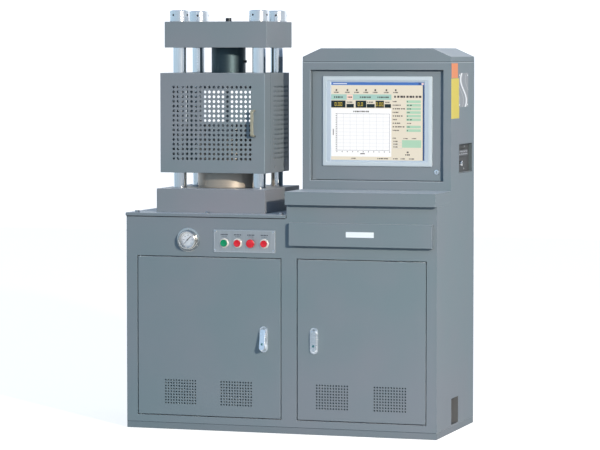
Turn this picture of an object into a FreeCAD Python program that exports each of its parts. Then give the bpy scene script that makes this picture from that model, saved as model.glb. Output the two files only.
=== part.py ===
"""Concrete compression testing machine: a four-column load frame on a cabinet, with a console beside it.

Millimetres. The origin is the middle of the base on the floor, +Z is up and the front faces -Y.
"""
import FreeCAD
import Part
import math
import os

V = FreeCAD.Vector
X_AXIS = V(1, 0, 0)
Y_AXIS = V(0, 1, 0)
Z_AXIS = V(0, 0, 1)

# Overall sizes of the cabinets
WIDTH = 1134.0
DEPTH = 502.0
LEFT_WIDTH = 594.0
PLINTH_HEIGHT = 23.0
DECK_HEIGHT = 751.0
SHELF_RISE = 48.0
SHELF_HEIGHT = 46.0
SHELF_OVERHANG = 22.0
CONSOLE_SET_BACK = 181.5
CONSOLE_HEIGHT = 447.0
EAVE_BAND = 18.0
RIDGE_RISE = 30.0
ROOF_SHOULDER = 67.0

# Sheet metal and clearances
SHEET = 2.0
DOOR_GAP = 2.0
COLLAR_DEPTH = 18.0
DOOR_FLANGE = 16.0
SEAT = 0.3
RUNNING = 0.05

# Plinth tubes and cross members
RAIL_WIDTH = 40.0
CROSS_RAIL_WIDTH = 60.0
TUBE_WALL = 2.5

# Work plate and its bolts
PLATE_THICKNESS = 11.0
PLATE_OVERHANG = 3.0
PLATE_BOLT_LEFT = 34.0
PLATE_BOLT_RIGHT = 26.0
PLATE_BOLT_EDGE = 14.0
BOLT_FLATS = 17.0
BOLT_HEAD = 6.5

# Stand inside the left cabinet
STAND_TUBE = 40.0
STAND_WALL = 3.0
STAND_SPREAD_X = 360.0
STAND_SPREAD_Y = 340.0

# Cabinet doors: their distances from the sides, the plinth and the deck
LEFT_DOOR_SIDES = (42.3, 20.8)
RIGHT_DOOR_SIDES = (38.9, 38.3)
DOOR_SILL = 27.0
DOOR_HEAD = 141.0
PIVOT_INSET = 8.0
PIVOT_DEPTH = 5.0
PIVOT_RADIUS = 2.5

# Plane locks
LOCK_INSETS = (62.2, 61.6)
LOCK_BELOW_MIDDLE = 2.0
LOCK_WIDTH = 29.0
LOCK_HEIGHT = 91.0
LOCK_PLATE = 3.0
LOCK_BARREL = 16.0
LOCK_DEPTH = 18.0
LOCK_SPINDLE = 5.0
LEVER_WIDTH = 22.0
LEVER_THICKNESS = 7.0
LEVER_LENGTH = 73.0
LEVER_BEVEL = 1.6
LEVER_PIVOT_UP = 33.0
LEVER_STAND_OFF = 0.6
LEVER_POP_OUT = 13.0
LEVER_PIN = 1.5
TANG_SIZE = (8.0, 6.0)
KEY_RADIUS = 5.0
KEY_PROUD = 1.0
KEY_DROP = 51.0
CAM_LENGTH = 75.0
CAM_WIDTH = 16.0
CAM_THICKNESS = 2.5

# Keyboard drawer
DRAWER_SIDES = (14.2, 12.8)
DRAWER_HEIGHT = 80.5
DRAWER_BELOW_DECK = 13.0
DRAWER_STAND_OUT = 20.0
DRAWER_MARGIN = 7.0
DRAWER_LIP = 10.0
TRAY_DEPTH = 380.0
TRAY_WALL_HEIGHT = 50.0
SLIDE_BAR = 12.0
SLIDE_HEIGHT = 20.0
RUNNER_LENGTH = 367.0
RUNNER_SPACER = 40.0
KEYBOARD_SIDE_GAP = 18.5
KEYBOARD_DEPTH = 150.0
KEYBOARD_HEIGHT = 20.0
KEYBOARD_NOSE = 12.0
KEYBOARD_SET_BACK = 60.0

# Console: margins of the recess, of the monitor in it and of the screen in the bezel
RECESS_SIDES = (29.0, 27.8)
RECESS_ENDS = (32.0, 28.0)
RECESS_DEPTH = 18.0
PANEL_GAP = 1.5
BEZEL_SIDES = (41.1, 44.1)
BEZEL_ENDS = (50.7, 22.2)
BEZEL_PROUD = 6.0
SCREEN_SIDES = (30.5, 29.5)
SCREEN_ENDS = (21.0, 21.1)
MONITOR_DEPTH = 46.0
CAM_LOCK_INSET = 28.2
CAM_LOCK_RISE = 32.0
CAM_LOCK_RADIUS = 9.5
CAM_LOCK_PROUD = 3.0
CAM_LOCK_SHAFT = 4.0
CAM_OVERLAP = 6.0

# Panel recess and cable port in the right side
SOCKET_PANEL_Y = (40.2, 221.1)
SOCKET_PANEL_RISE = 56.9
SOCKET_PANEL_HEIGHT = 103.2
SOCKET_PANEL_DEPTH = 14.0
LONG_SOCKET_Y = (48.3, 168.0)
LONG_SOCKET_RISE = 60.1
LONG_SOCKET_HEIGHT = 22.0
LONG_SOCKET_PROUD = 9.0
ROUND_SOCKET_Y = 86.5
ROUND_SOCKET_RISE = 34.1
ROUND_SOCKET_RADIUS = 8.5
CABLE_PORT_Y = (-53.6, 41.2)
CABLE_PORT_Z = (27.0, 119.5)

# Load frame; its middle is a little left of and behind the left cabinet's
FRAME_LEFT_OF_MIDDLE = 5.5
FRAME_Y = 9.5
COLUMN_RADIUS = 24.0
COLUMN_SPACING_X = 297.5
COLUMN_SPACING_Y = 200.0
BLOCK_SIZE = (405.0, 392.0, 83.0)
COLUMN_SOCKET = 65.0
CROSSHEAD_SIZE = (383.0, 283.5, 92.0)
SPACER_STACK = 148.0
NUT_RADIUS = 35.5
NUT_HEIGHT = 40.0
CENTRE_BOLT_RADIUS = 11.0
CENTRE_BOLT_HEAD = 14.0
PLATEN_RADIUS = 110.0
SPACER_RADIUS = 61.0
UPPER_PLATEN_THICKNESS = 42.0
LOWER_PLATEN_THICKNESS = 50.0
LOWER_PLATEN_RISE = 315.0
DAYLIGHT = 117.0
BALL_RADIUS = 80.0
BALL_GAP = 0.9
LINER = 3.0
SEAT_BANDS = (40.0, 26.0, 12.0)
LOCK_SCREW_RADIUS = 5.0
LOCK_SCREW_HEAD = 9.0
LOCK_SCREW_DROP = 49.0
CYLINDER_RADIUS = 110.0
CYLINDER_HEIGHT = 168.0
RAM_RADIUS = 75.0
CYLINDER_FLOOR = 30.0
OIL_PORT = (45.0, 45.0)
PIPE_RADIUS = 8.0
PIPE_BORE = 5.0

# Guard round the test space
GUARD_WIDTH = 390.0
GUARD_RISE = 139.0
GUARD_HEIGHT = 352.0
GUARD_FRONT = 176.0
GUARD_BACK = 98.3
GUARD_SHEET = 1.5
GUARD_RETURN = 66.0
GUARD_LIP = 12.0
GUARD_SEAM = 1.0
HOLE_PITCH = 16.8
HOLE_RADIUS = 5.0
HOLE_COLUMNS = 18
HOLE_ROWS = 16
HOLE_SHIFT = -2.0
HANDLE_OFFSET = 154.5
HANDLE_LENGTH = 95.0
HANDLE_WIDTH = 11.0
HANDLE_STAND_OFF = 20.0
HANDLE_THICKNESS = 5.0
HINGE_HEIGHTS = (59.0, 279.0)
HINGE_LUG = 16.0
HINGE_LEAF = 20.0
HINGE_OFFSET = 4.5
HINGE_KNUCKLE = 4.3
HINGE_PIN = 2.5
CLAMP_EDGE = 4.0
CLAMP_THICKNESS = 14.0
CLAMP_REACH = 30.0
REAR_PANEL_INSET = 20.0
WINDOW_ENDS = (149.0, 38.0)
WINDOW_BAR = 15.0
WINDOW_BAR_OFFSET = 48.0

# Pressure gauge
GAUGE_FROM_WALL = 361.5
GAUGE_BELOW_DECK = 81.0
GAUGE_FLANGE = 42.5
GAUGE_BEZEL = 33.0
GAUGE_PROUD = 20.0
DIAL_RADIUS = 28.0
GLASS_SET_BACK = 1.5
GAUGE_STEM = 14.0
GAUGE_STEM_LENGTH = 28.0
NEEDLE_LENGTH = 21.0
NEEDLE_TAIL = 9.0
NEEDLE_HUB = 3.5
NEEDLE_SHAFT = 1.5
NEEDLE_WIDTH = 1.2
NEEDLE_START = -135.0

# Push-buttons
BUTTON_PLATE_SIZE = (226.9, 79.4)
BUTTON_PLATE_FROM_WALL = 40.7
BUTTON_PLATE_BELOW_DECK = 42.5
BUTTONS = ("start_button", "stop_button", "emergency_button", "reset_button")
MUSHROOM = "emergency_button"
BUTTON_FIRST = 39.6
BUTTON_PITCH = 49.0
BUTTON_BELOW_DECK = 90.0
COLLAR_RADIUS = 15.0
CAP_RADIUS = 12.0
COLLAR_PROUD = 8.0
CAP_PROUD = 10.0
CAP_DEPTH = 4.0
BUTTON_TRAVEL = 3.5
BUTTON_MARGIN = 13.0
MUSHROOM_RADIUS = 15.0
MUSHROOM_DEPTH = 8.0
MUSHROOM_FACE = 11.5
BUTTON_POST = 10.0
BUTTON_POST_LENGTH = 12.0
CONTACT_SIZE = (28.0, 60.0, 38.0)

# Power pack and electrics
TANK_SIZE = (300.0, 300.0, 210.0)
TANK_LID = 6.0
TANK_LID_LIP = 8.0
MOTOR_RADIUS = 70.0
MOTOR_LENGTH = 160.0
MOTOR_FOOT = 10.0
MOTOR_SIDE_STEP = 60.0
PUMP_SIZE = (60.0, 80.0, 90.0)
VALVE_SIZE = (80.0, 90.0, 90.0)
COMPUTER_SIZE = (170.0, 380.0, 370.0)
COMPUTER_SIDE_GAP = 45.0
CONTROL_BOX_SIZE = (210.0, 110.0, 270.0)
CONTROL_BOX_SIDE_GAP = 51.0
CONTROL_BOX_ABOVE = 15.0

# Cooling slots in the left rear cover
COOLING_SLOTS = 5
COOLING_SIZE = (180.0, 6.0)
COOLING_PITCH = 20.0
COOLING_Z = 300.0

# Sides of the round parts that are drawn with flats
HOLE_SIDES = 4
HIDDEN_SIDES = 12
ROUND_SIDES = 16
COLUMN_SIDES = 16
CAP_SIDES = 16
SEAT_SIDES = 20
NUT_SIDES = 20
DIAL_SIDES = 24
SPACER_SIDES = 24
PLATEN_SIDES = 32

# Derived limits of the cabinets
X_ALL = (-WIDTH / 2, WIDTH / 2)
Y_ALL = (-DEPTH / 2, DEPTH / 2)
Y_INSIDE = (Y_ALL[0] + SHEET, Y_ALL[1] - SHEET)
WALL_X = X_ALL[0] + LEFT_WIDTH
LEFT_X = (X_ALL[0], WALL_X)
RIGHT_X = (WALL_X, X_ALL[1])
LEFT_INSIDE_X = (X_ALL[0] + SHEET, WALL_X)
RIGHT_INSIDE_X = (WALL_X + SHEET, X_ALL[1] - SHEET)
FLOOR_TOP = PLINTH_HEIGHT + SHEET
SHELF_BOTTOM = DECK_HEIGHT + SHELF_RISE
SHELF_TOP = SHELF_BOTTOM + SHELF_HEIGHT
EAVE_HEIGHT = SHELF_TOP + CONSOLE_HEIGHT
CONSOLE_FRONT = Y_ALL[0] + CONSOLE_SET_BACK
PLATE_TOP = DECK_HEIGHT + PLATE_THICKNESS
FRONT_BACK = Y_ALL[0] + SHEET
COLLAR_BACK = FRONT_BACK + COLLAR_DEPTH


def inset(limits, margins):
    """Limits brought in by a margin at each end."""
    return limits[0] + margins[0], limits[1] - margins[1]


# Derived places on the cabinet front
DOOR_Z = (PLINTH_HEIGHT + DOOR_SILL, DECK_HEIGHT - DOOR_HEAD)
LEFT_DOOR_X = inset(LEFT_X, LEFT_DOOR_SIDES)
RIGHT_DOOR_X = inset(RIGHT_X, RIGHT_DOOR_SIDES)
LOCK_LEFT_X = LEFT_DOOR_X[1] - LOCK_INSETS[0]
LOCK_RIGHT_X = RIGHT_DOOR_X[0] + LOCK_INSETS[1]
LOCK_Z = (DOOR_Z[0] + DOOR_Z[1]) / 2 - LOCK_BELOW_MIDDLE
DRAWER_X = inset(RIGHT_X, DRAWER_SIDES)
DRAWER_TOP = DECK_HEIGHT - DRAWER_BELOW_DECK
DRAWER_Z = (DRAWER_TOP - DRAWER_HEIGHT, DRAWER_TOP)
GAUGE_X = WALL_X - GAUGE_FROM_WALL
GAUGE_Z = DECK_HEIGHT - GAUGE_BELOW_DECK
BUTTON_PLATE_RIGHT = WALL_X - BUTTON_PLATE_FROM_WALL
BUTTON_PLATE_X = (BUTTON_PLATE_RIGHT - BUTTON_PLATE_SIZE[0], BUTTON_PLATE_RIGHT)
BUTTON_PLATE_TOP = DECK_HEIGHT - BUTTON_PLATE_BELOW_DECK
BUTTON_PLATE_Z = (BUTTON_PLATE_TOP - BUTTON_PLATE_SIZE[1], BUTTON_PLATE_TOP)
BUTTON_FIRST_X = BUTTON_PLATE_X[0] + BUTTON_FIRST
BUTTON_Z = DECK_HEIGHT - BUTTON_BELOW_DECK

# Derived places of the console and its monitor panel
RECESS_X = inset(RIGHT_X, RECESS_SIDES)
RECESS_Z = inset((SHELF_TOP, EAVE_HEIGHT), RECESS_ENDS)
BEZEL_X = inset(RECESS_X, BEZEL_SIDES)
BEZEL_Z = inset(RECESS_Z, BEZEL_ENDS)
SCREEN_X = inset(BEZEL_X, SCREEN_SIDES)
SCREEN_Z = inset(BEZEL_Z, SCREEN_ENDS)
CAM_LOCK_X = RECESS_X[1] - CAM_LOCK_INSET
CAM_LOCK_Z = RECESS_Z[0] + CAM_LOCK_RISE
PANEL_FRONT = CONSOLE_FRONT + RECESS_DEPTH
MONITOR_PIVOT_X = RECESS_X[0] + PANEL_GAP + PIVOT_INSET
MONITOR_PIVOT_Y = PANEL_FRONT - PIVOT_DEPTH + SHEET / 2
SOCKET_PANEL_BOTTOM = SHELF_TOP + SOCKET_PANEL_RISE
SOCKET_PANEL_Z = (SOCKET_PANEL_BOTTOM, SOCKET_PANEL_BOTTOM + SOCKET_PANEL_HEIGHT)
LONG_SOCKET_BOTTOM = SOCKET_PANEL_BOTTOM + LONG_SOCKET_RISE
LONG_SOCKET_Z = (LONG_SOCKET_BOTTOM, LONG_SOCKET_BOTTOM + LONG_SOCKET_HEIGHT)
ROUND_SOCKET_Z = SOCKET_PANEL_BOTTOM + ROUND_SOCKET_RISE

# Derived heights and places of the load frame
FRAME_X = (LEFT_X[0] + LEFT_X[1]) / 2 - FRAME_LEFT_OF_MIDDLE
BLOCK_TOP = PLATE_TOP + BLOCK_SIZE[2]
LOWER_PLATEN_TOP = PLATE_TOP + LOWER_PLATEN_RISE
UPPER_FACE = LOWER_PLATEN_TOP + DAYLIGHT
CROSSHEAD_BOTTOM = UPPER_FACE + SPACER_STACK
CROSSHEAD_TOP = CROSSHEAD_BOTTOM + CROSSHEAD_SIZE[2]
LOCK_SCREW_Z = CROSSHEAD_BOTTOM - LOCK_SCREW_DROP
RAM_TOP = LOWER_PLATEN_TOP - LOWER_PLATEN_THICKNESS
COLUMN_X = (FRAME_X - COLUMN_SPACING_X / 2, FRAME_X + COLUMN_SPACING_X / 2)
COLUMN_Y = (FRAME_Y - COLUMN_SPACING_Y / 2, FRAME_Y + COLUMN_SPACING_Y / 2)
GUARD_X = (FRAME_X - GUARD_WIDTH / 2, FRAME_X + GUARD_WIDTH / 2)
GUARD_BOTTOM = PLATE_TOP + GUARD_RISE
GUARD_Z = (GUARD_BOTTOM, GUARD_BOTTOM + GUARD_HEIGHT)
GUARD_MIDDLE = (GUARD_Z[0] + GUARD_Z[1]) / 2
GUARD_FRONT_Y = FRAME_Y - GUARD_FRONT
GUARD_SEAM_Y = GUARD_FRONT_Y + GUARD_RETURN
GUARD_BACK_Y = FRAME_Y + GUARD_BACK
CLAMP_BACK = COLUMN_Y[1] + COLUMN_RADIUS + SHEET
WINDOW_Z = inset(GUARD_Z, WINDOW_ENDS)
PIPE_X = FRAME_X + OIL_PORT[0]
PIPE_Y = FRAME_Y + OIL_PORT[1]


def span(middle, size):
    """Limits of a length centred on a place."""
    return middle - size / 2, middle + size / 2


def shrink(limits, by):
    return limits[0] + by, limits[1] - by


def block(x, y, z):
    """Box between three pairs of limits."""
    corner = V(x[0], y[0], z[0])
    return Part.makeBox(x[1] - x[0], y[1] - y[0], z[1] - z[0], corner)


def rod(radius, start, axis, length):
    return Part.makeCylinder(radius, length, start, axis)


def flats_at(radius, sides):
    """Corner radius of a many-sided bore whose flats lie at a radius."""
    return radius / math.cos(math.pi / sides)


def many_sided(radius, sides, centre, axis):
    """Closed wire with equal sides round an axis."""
    across = Y_AXIS if axis == X_AXIS else X_AXIS
    upward = Y_AXIS if axis == Z_AXIS else Z_AXIS
    corners = []
    for n in range(sides + 1):
        angle = 2 * math.pi * (n + 0.5) / sides
        step = across * math.cos(angle) + upward * math.sin(angle)
        corners.append(centre + step * radius)
    return Part.makePolygon(corners)


def drum(radius, sides, start, axis, length):
    """Round part with flat sides, which keeps the mesh light."""
    return Part.Face(many_sided(radius, sides, start, axis)).extrude(axis * length)


def tapered(stations, sides, start, axis):
    """Drum that changes its radius; each station is a radius and a distance along the axis."""
    wires = [many_sided(radius, sides, start + axis * along, axis) for radius, along in stations]
    faces = [Part.Face(wires[0]), Part.Face(wires[-1])]
    for near, far in zip(wires, wires[1:]):
        for low, high in zip(near.Edges, far.Edges):
            corners = [low.firstVertex().Point, low.lastVertex().Point]
            corners += [high.lastVertex().Point, high.firstVertex().Point]
            faces.append(Part.Face(Part.makePolygon([*corners, corners[0]])))
    solid = Part.makeSolid(Part.makeShell(faces))
    return solid if solid.Volume > 0 else solid.reversed()


def polygon_prism(points, direction):
    """Closed outline through the points, drawn out along a vector."""
    wire = Part.makePolygon([*points, points[0]])
    return Part.Face(wire).extrude(direction)


def tube_along_x(x, y, z, wall):
    return block(x, y, z).cut(block(x, shrink(y, wall), shrink(z, wall)))


def tube_along_y(x, y, z, wall):
    return block(x, y, z).cut(block(shrink(x, wall), y, shrink(z, wall)))


def tube_along_z(x, y, z, wall):
    return block(x, y, z).cut(block(shrink(x, wall), shrink(y, wall), z))


def collar(x, z, y, wall):
    """Rectangular frame round an opening in a front sheet."""
    return block((x[0] - wall, x[1] + wall), y, (z[0] - wall, z[1] + wall)).cut(block(x, y, z))


def save(node, *solids):
    shape = solids[0] if len(solids) == 1 else Part.makeCompound(list(solids))
    shape.exportStep(os.path.join("parts", node + ".step"))


# Base frame and cabinet shell

def base_frame():
    """Ring of rectangular tubes with three cross members, one of them under the origin."""
    z = (0, PLINTH_HEIGHT)
    front = (Y_ALL[0], Y_ALL[0] + RAIL_WIDTH)
    back = (Y_ALL[1] - RAIL_WIDTH, Y_ALL[1])
    between = (front[1], back[0])
    solids = [tube_along_x(X_ALL, front, z, TUBE_WALL), tube_along_x(X_ALL, back, z, TUBE_WALL)]
    for x in (
        (X_ALL[0], X_ALL[0] + RAIL_WIDTH),
        span(0, CROSS_RAIL_WIDTH),
        (X_ALL[1] - RAIL_WIDTH, X_ALL[1]),
    ):
        solids.append(tube_along_y(x, between, z, TUBE_WALL))
    save("base_frame", *solids)


def floor_sheets():
    z = (PLINTH_HEIGHT, FLOOR_TOP)
    save("floor_sheets", block(LEFT_INSIDE_X, Y_INSIDE, z), block(RIGHT_INSIDE_X, Y_INSIDE, z))


def door_opening(door_x):
    return shrink(door_x, -DOOR_GAP), shrink(DOOR_Z, -DOOR_GAP)


def pivot_x(door_x, hinged_left):
    return door_x[0] + PIVOT_INSET if hinged_left else door_x[1] - PIVOT_INSET


def pin_pair(x, y, z):
    """Two upright pins: one reaches up past the lower level, one down past the upper level."""
    reach = DOOR_GAP + 2 * SHEET
    radius = PIVOT_RADIUS
    low = drum(radius, HIDDEN_SIDES, V(x, y, z[0] - DOOR_GAP - SHEET), Z_AXIS, reach)
    high = drum(radius, HIDDEN_SIDES, V(x, y, z[1] - SHEET), Z_AXIS, reach)
    return [low, high]


def pin_holes(x, y, z):
    """Holes for a pair of pins in the flanges at two levels."""
    radius = PIVOT_RADIUS + RUNNING
    low = rod(radius, V(x, y, z[0]), Z_AXIS, SHEET)
    high = drum(flats_at(radius, HIDDEN_SIDES), HIDDEN_SIDES, V(x, y, z[1] - SHEET), Z_AXIS, SHEET)
    return [low, high]


def front_fascia():
    """One sheet over both cabinets; collars round the door openings carry the doors' pivot pins."""
    skin_y = (Y_ALL[0], FRONT_BACK)
    collar_y = (FRONT_BACK, COLLAR_BACK)
    fascia = block(X_ALL, skin_y, (PLINTH_HEIGHT, DECK_HEIGHT))
    fascia = fascia.fuse(block(RIGHT_X, skin_y, (DECK_HEIGHT, SHELF_BOTTOM)))
    cuts = [
        block(shrink(DRAWER_X, DRAWER_MARGIN), skin_y, shrink(DRAWER_Z, DRAWER_LIP)),
        block(shrink(BUTTON_PLATE_X, BUTTON_MARGIN), skin_y, shrink(BUTTON_PLATE_Z, BUTTON_MARGIN)),
        block(span(GAUGE_X, GAUGE_STEM + 2 * SEAT), skin_y, span(GAUGE_Z, GAUGE_STEM + 2 * SEAT)),
    ]
    for door_x, hinged_left in ((LEFT_DOOR_X, True), (RIGHT_DOOR_X, False)):
        x, z = door_opening(door_x)
        pins = pin_pair(pivot_x(door_x, hinged_left), Y_ALL[0] + PIVOT_DEPTH, DOOR_Z)
        fascia = fascia.fuse([collar(x, z, collar_y, SHEET), *pins])
        cuts.append(block(x, skin_y, z))
    save("front_fascia", fascia.cut(cuts).removeSplitter())


def side_outline(x):
    """Side sheet: low in front under the shelf, tall behind it under the roof."""
    steps = [
        (Y_INSIDE[0], PLINTH_HEIGHT),
        (Y_INSIDE[1], PLINTH_HEIGHT),
        (Y_INSIDE[1], EAVE_HEIGHT),
        (CONSOLE_FRONT + SHEET, EAVE_HEIGHT),
        (CONSOLE_FRONT + SHEET, SHELF_BOTTOM),
        (Y_INSIDE[0], SHELF_BOTTOM),
    ]
    return polygon_prism([V(x, y, z) for y, z in steps], V(SHEET, 0, 0))


def side_sheets():
    save("left_side", block((X_ALL[0], X_ALL[0] + SHEET), Y_INSIDE, (PLINTH_HEIGHT, DECK_HEIGHT)))
    save("middle_wall", side_outline(WALL_X))
    thickness = (X_ALL[1] - SHEET, X_ALL[1])
    port = block(thickness, CABLE_PORT_Y, CABLE_PORT_Z)
    recess = block(thickness, SOCKET_PANEL_Y, SOCKET_PANEL_Z)
    save("right_side", side_outline(X_ALL[1] - SHEET).cut([port, recess]))


def rear_covers():
    """Removable covers; the left one has cooling slots behind the motor."""
    y = (Y_INSIDE[1], Y_ALL[1])
    left = block(LEFT_X, y, (PLINTH_HEIGHT, DECK_HEIGHT))
    slots = []
    for row in range(COOLING_SLOTS):
        z = span(COOLING_Z + row * COOLING_PITCH, COOLING_SIZE[1])
        slots.append(block(span(FRAME_X, COOLING_SIZE[0]), y, z))
    right = block(RIGHT_X, y, (PLINTH_HEIGHT, EAVE_HEIGHT))
    save("rear_covers", left.cut(slots), right)


def work_plate():
    """Thick plate on the left cabinet with an opening for the oil pipe, and its hex bolts."""
    x = (X_ALL[0] - PLATE_OVERHANG, WALL_X - PLATE_OVERHANG)
    y = (Y_ALL[0] - PLATE_OVERHANG, Y_ALL[1])
    z = (DECK_HEIGHT, PLATE_TOP)
    save("work_plate", block(x, y, z).cut(pipe_bore(z)))
    bolt_x = (x[0] + PLATE_BOLT_LEFT, (x[0] + x[1]) / 2, x[1] - PLATE_BOLT_RIGHT)
    bolt_y = shrink(y, PLATE_BOLT_EDGE)
    radius = flats_at(BOLT_FLATS / 2, 6)
    bolts = [drum(radius, 6, V(bx, by, PLATE_TOP), Z_AXIS, BOLT_HEAD) for bx in bolt_x for by in bolt_y]
    top = V(FRAME_X, FRAME_Y, CROSSHEAD_TOP)
    bolts.append(drum(CENTRE_BOLT_RADIUS, HIDDEN_SIDES, top, Z_AXIS, CENTRE_BOLT_HEAD))
    save("frame_bolts", *bolts)


def pipe_bore(z):
    radius = flats_at(PIPE_RADIUS + SEAT, HIDDEN_SIDES)
    return drum(radius, HIDDEN_SIDES, V(PIPE_X, PIPE_Y, z[0]), Z_AXIS, z[1] - z[0])


def inner_stand():
    """Four square-tube legs with two rails that carry the load frame's weight."""
    legs_x = [span(FRAME_X + side * STAND_SPREAD_X / 2, STAND_TUBE) for side in (-1, 1)]
    legs_y = [span(FRAME_Y + side * STAND_SPREAD_Y / 2, STAND_TUBE) for side in (-1, 1)]
    rail_bottom = DECK_HEIGHT - STAND_TUBE
    solids = []
    for x in legs_x:
        for y in legs_y:
            solids.append(tube_along_z(x, y, (FLOOR_TOP, rail_bottom), STAND_WALL))
        rail_y = (legs_y[0][0], legs_y[1][1])
        solids.append(tube_along_y(x, rail_y, (rail_bottom, DECK_HEIGHT), STAND_WALL))
    save("inner_stand", *solids)


# Cabinet doors and their locks

def cabinet_door(node, door_x, lock_x, hinged_left):
    """Folded tray with pivot holes in its top and bottom flanges and a cut-out for the lock."""
    y = (Y_ALL[0], FRONT_BACK + DOOR_FLANGE)
    door = block(door_x, y, DOOR_Z)
    hollow = block(shrink(door_x, SHEET), (FRONT_BACK, y[1]), shrink(DOOR_Z, SHEET))
    holes = pin_holes(pivot_x(door_x, hinged_left), Y_ALL[0] + PIVOT_DEPTH, DOOR_Z)
    side = LOCK_BARREL + 2 * SEAT
    cut_out = block(span(lock_x, side), (y[0], FRONT_BACK), span(LOCK_Z + LEVER_PIVOT_UP, side))
    save(node, door.cut([hollow, cut_out, *holes]))


def lock_body(node, lock_x):
    """Oblong face plate with rounded ends and a square barrel through the door."""
    y0 = Y_ALL[0] - LOCK_PLATE
    straight = LOCK_HEIGHT - LOCK_WIDTH
    body = block(span(lock_x, LOCK_WIDTH), (y0, Y_ALL[0]), span(LOCK_Z, straight))
    for side in (-1, 1):
        end = V(lock_x, y0, LOCK_Z + side * straight / 2)
        body = body.fuse(drum(flats_at(LOCK_WIDTH / 2, ROUND_SIDES), ROUND_SIDES, end, Y_AXIS, LOCK_PLATE))
    pivot = lever_pivot(lock_x)
    barrel_y = (y0, FRONT_BACK + LOCK_DEPTH)
    body = body.fuse(block(span(lock_x, LOCK_BARREL), barrel_y, span(pivot.z, LOCK_BARREL)))
    start = V(lock_x, y0, pivot.z)
    bore = drum(flats_at(LOCK_SPINDLE + RUNNING, ROUND_SIDES), ROUND_SIDES, start, Y_AXIS, barrel_y[1] - y0)
    save(node, body.cut(bore).removeSplitter())


def lever_pivot(lock_x):
    y = Y_ALL[0] - LOCK_PLATE - LEVER_STAND_OFF - LEVER_THICKNESS / 2
    return V(lock_x, y, LOCK_Z + LEVER_PIVOT_UP)


def lock_spindle(node, lock_x):
    """Spindle with the tang that carries the lever in front and the cam bar behind."""
    pivot = lever_pivot(lock_x)
    face_y = Y_ALL[0] - LOCK_PLATE
    cam_y = (FRONT_BACK + LOCK_DEPTH + SEAT, FRONT_BACK + LOCK_DEPTH + SEAT + CAM_THICKNESS)
    spindle = rod(LOCK_SPINDLE, V(lock_x, face_y, pivot.z), Y_AXIS, cam_y[1] - face_y)
    tang_y = (pivot.y - TANG_SIZE[1] / 2, face_y + LOCK_PLATE)
    tang = block(span(lock_x, TANG_SIZE[0]), tang_y, span(pivot.z, TANG_SIZE[1]))
    start = V(lock_x - TANG_SIZE[0] / 2, pivot.y, pivot.z)
    hole = drum(flats_at(LEVER_PIN + RUNNING, HIDDEN_SIDES), HIDDEN_SIDES, start, X_AXIS, TANG_SIZE[0])
    cam = block(span(lock_x, CAM_WIDTH), cam_y, (pivot.z - CAM_LENGTH, pivot.z + CAM_WIDTH / 2))
    save(node, spindle.fuse([tang.cut(hole), cam]).removeSplitter())


def lock_lever(node, lock_x, popped_out):
    """Lever forked over the tang, with its pin and, near its lower end, the key barrel."""
    pivot = lever_pivot(lock_x)
    half = LEVER_THICKNESS / 2
    bevel = half - LEVER_BEVEL
    side_view = [
        (-half, LEVER_BEVEL - LEVER_LENGTH),
        (LEVER_BEVEL - half, -LEVER_LENGTH),
        (half, -LEVER_LENGTH),
        (half, bevel),
        (bevel, half),
        (-bevel, half),
        (-half, bevel),
    ]
    left = lock_x - LEVER_WIDTH / 2
    outline = [V(left, pivot.y + y, pivot.z + z) for y, z in side_view]
    lever = polygon_prism(outline, V(LEVER_WIDTH, 0, 0))
    slot_x = span(lock_x, TANG_SIZE[0] + 2 * SEAT)
    slot = block(slot_x, span(pivot.y, 2 * LEVER_THICKNESS), (pivot.z - TANG_SIZE[1], pivot.z + half))
    pin = drum(LEVER_PIN, HIDDEN_SIDES, V(slot_x[0], pivot.y, pivot.z), X_AXIS, slot_x[1] - slot_x[0])
    key_start = V(lock_x, pivot.y - half - KEY_PROUD, pivot.z - KEY_DROP)
    key = drum(KEY_RADIUS, ROUND_SIDES, key_start, Y_AXIS, half)
    lever = lever.cut(slot).fuse([pin, key]).removeSplitter()
    lever.rotate(pivot, X_AXIS, -popped_out)
    save(node, lever)


# Keyboard drawer

def tray_limits():
    x = shrink(DRAWER_X, DRAWER_MARGIN + DOOR_GAP + SLIDE_BAR)
    y0 = Y_ALL[0] - DRAWER_STAND_OUT + SHEET
    z0 = DRAWER_Z[0] + DRAWER_LIP + DOOR_GAP
    return x, (y0, y0 + TRAY_DEPTH), (z0, z0 + TRAY_WALL_HEIGHT)


def slide_level():
    x, y, z = tray_limits()
    return span((z[0] + z[1]) / 2, SLIDE_HEIGHT)


def drawer():
    """Folded front, tray with a slide bar on each side, and the keyboard that lies in it."""
    front_y = (Y_ALL[0] - DRAWER_STAND_OUT, Y_ALL[0] - SEAT)
    front = block(DRAWER_X, front_y, DRAWER_Z)
    hollow = block(shrink(DRAWER_X, SHEET), (front_y[0] + SHEET, front_y[1]), shrink(DRAWER_Z, SHEET))
    save("drawer_front", front.cut(hollow))
    x, y, z = tray_limits()
    tray = block(x, y, z).cut(block(shrink(x, SHEET), shrink(y, SHEET), (z[0] + SHEET, z[1])))
    bar_y = (FRONT_BACK + DOOR_GAP, y[1])
    for bar_x in ((x[0] - SLIDE_BAR, x[0]), (x[1], x[1] + SLIDE_BAR)):
        tray = tray.fuse(block(bar_x, bar_y, slide_level()))
    save("drawer_tray", tray.removeSplitter())
    left, right = shrink(x, SHEET + KEYBOARD_SIDE_GAP)
    near = y[0] + KEYBOARD_SET_BACK
    far = near + KEYBOARD_DEPTH
    z0 = z[0] + SHEET
    side_view = [(near, z0), (far, z0), (far, z0 + KEYBOARD_HEIGHT), (near, z0 + KEYBOARD_NOSE)]
    save("keyboard", polygon_prism([V(left, y, z) for y, z in side_view], V(right - left, 0, 0)))


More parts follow.
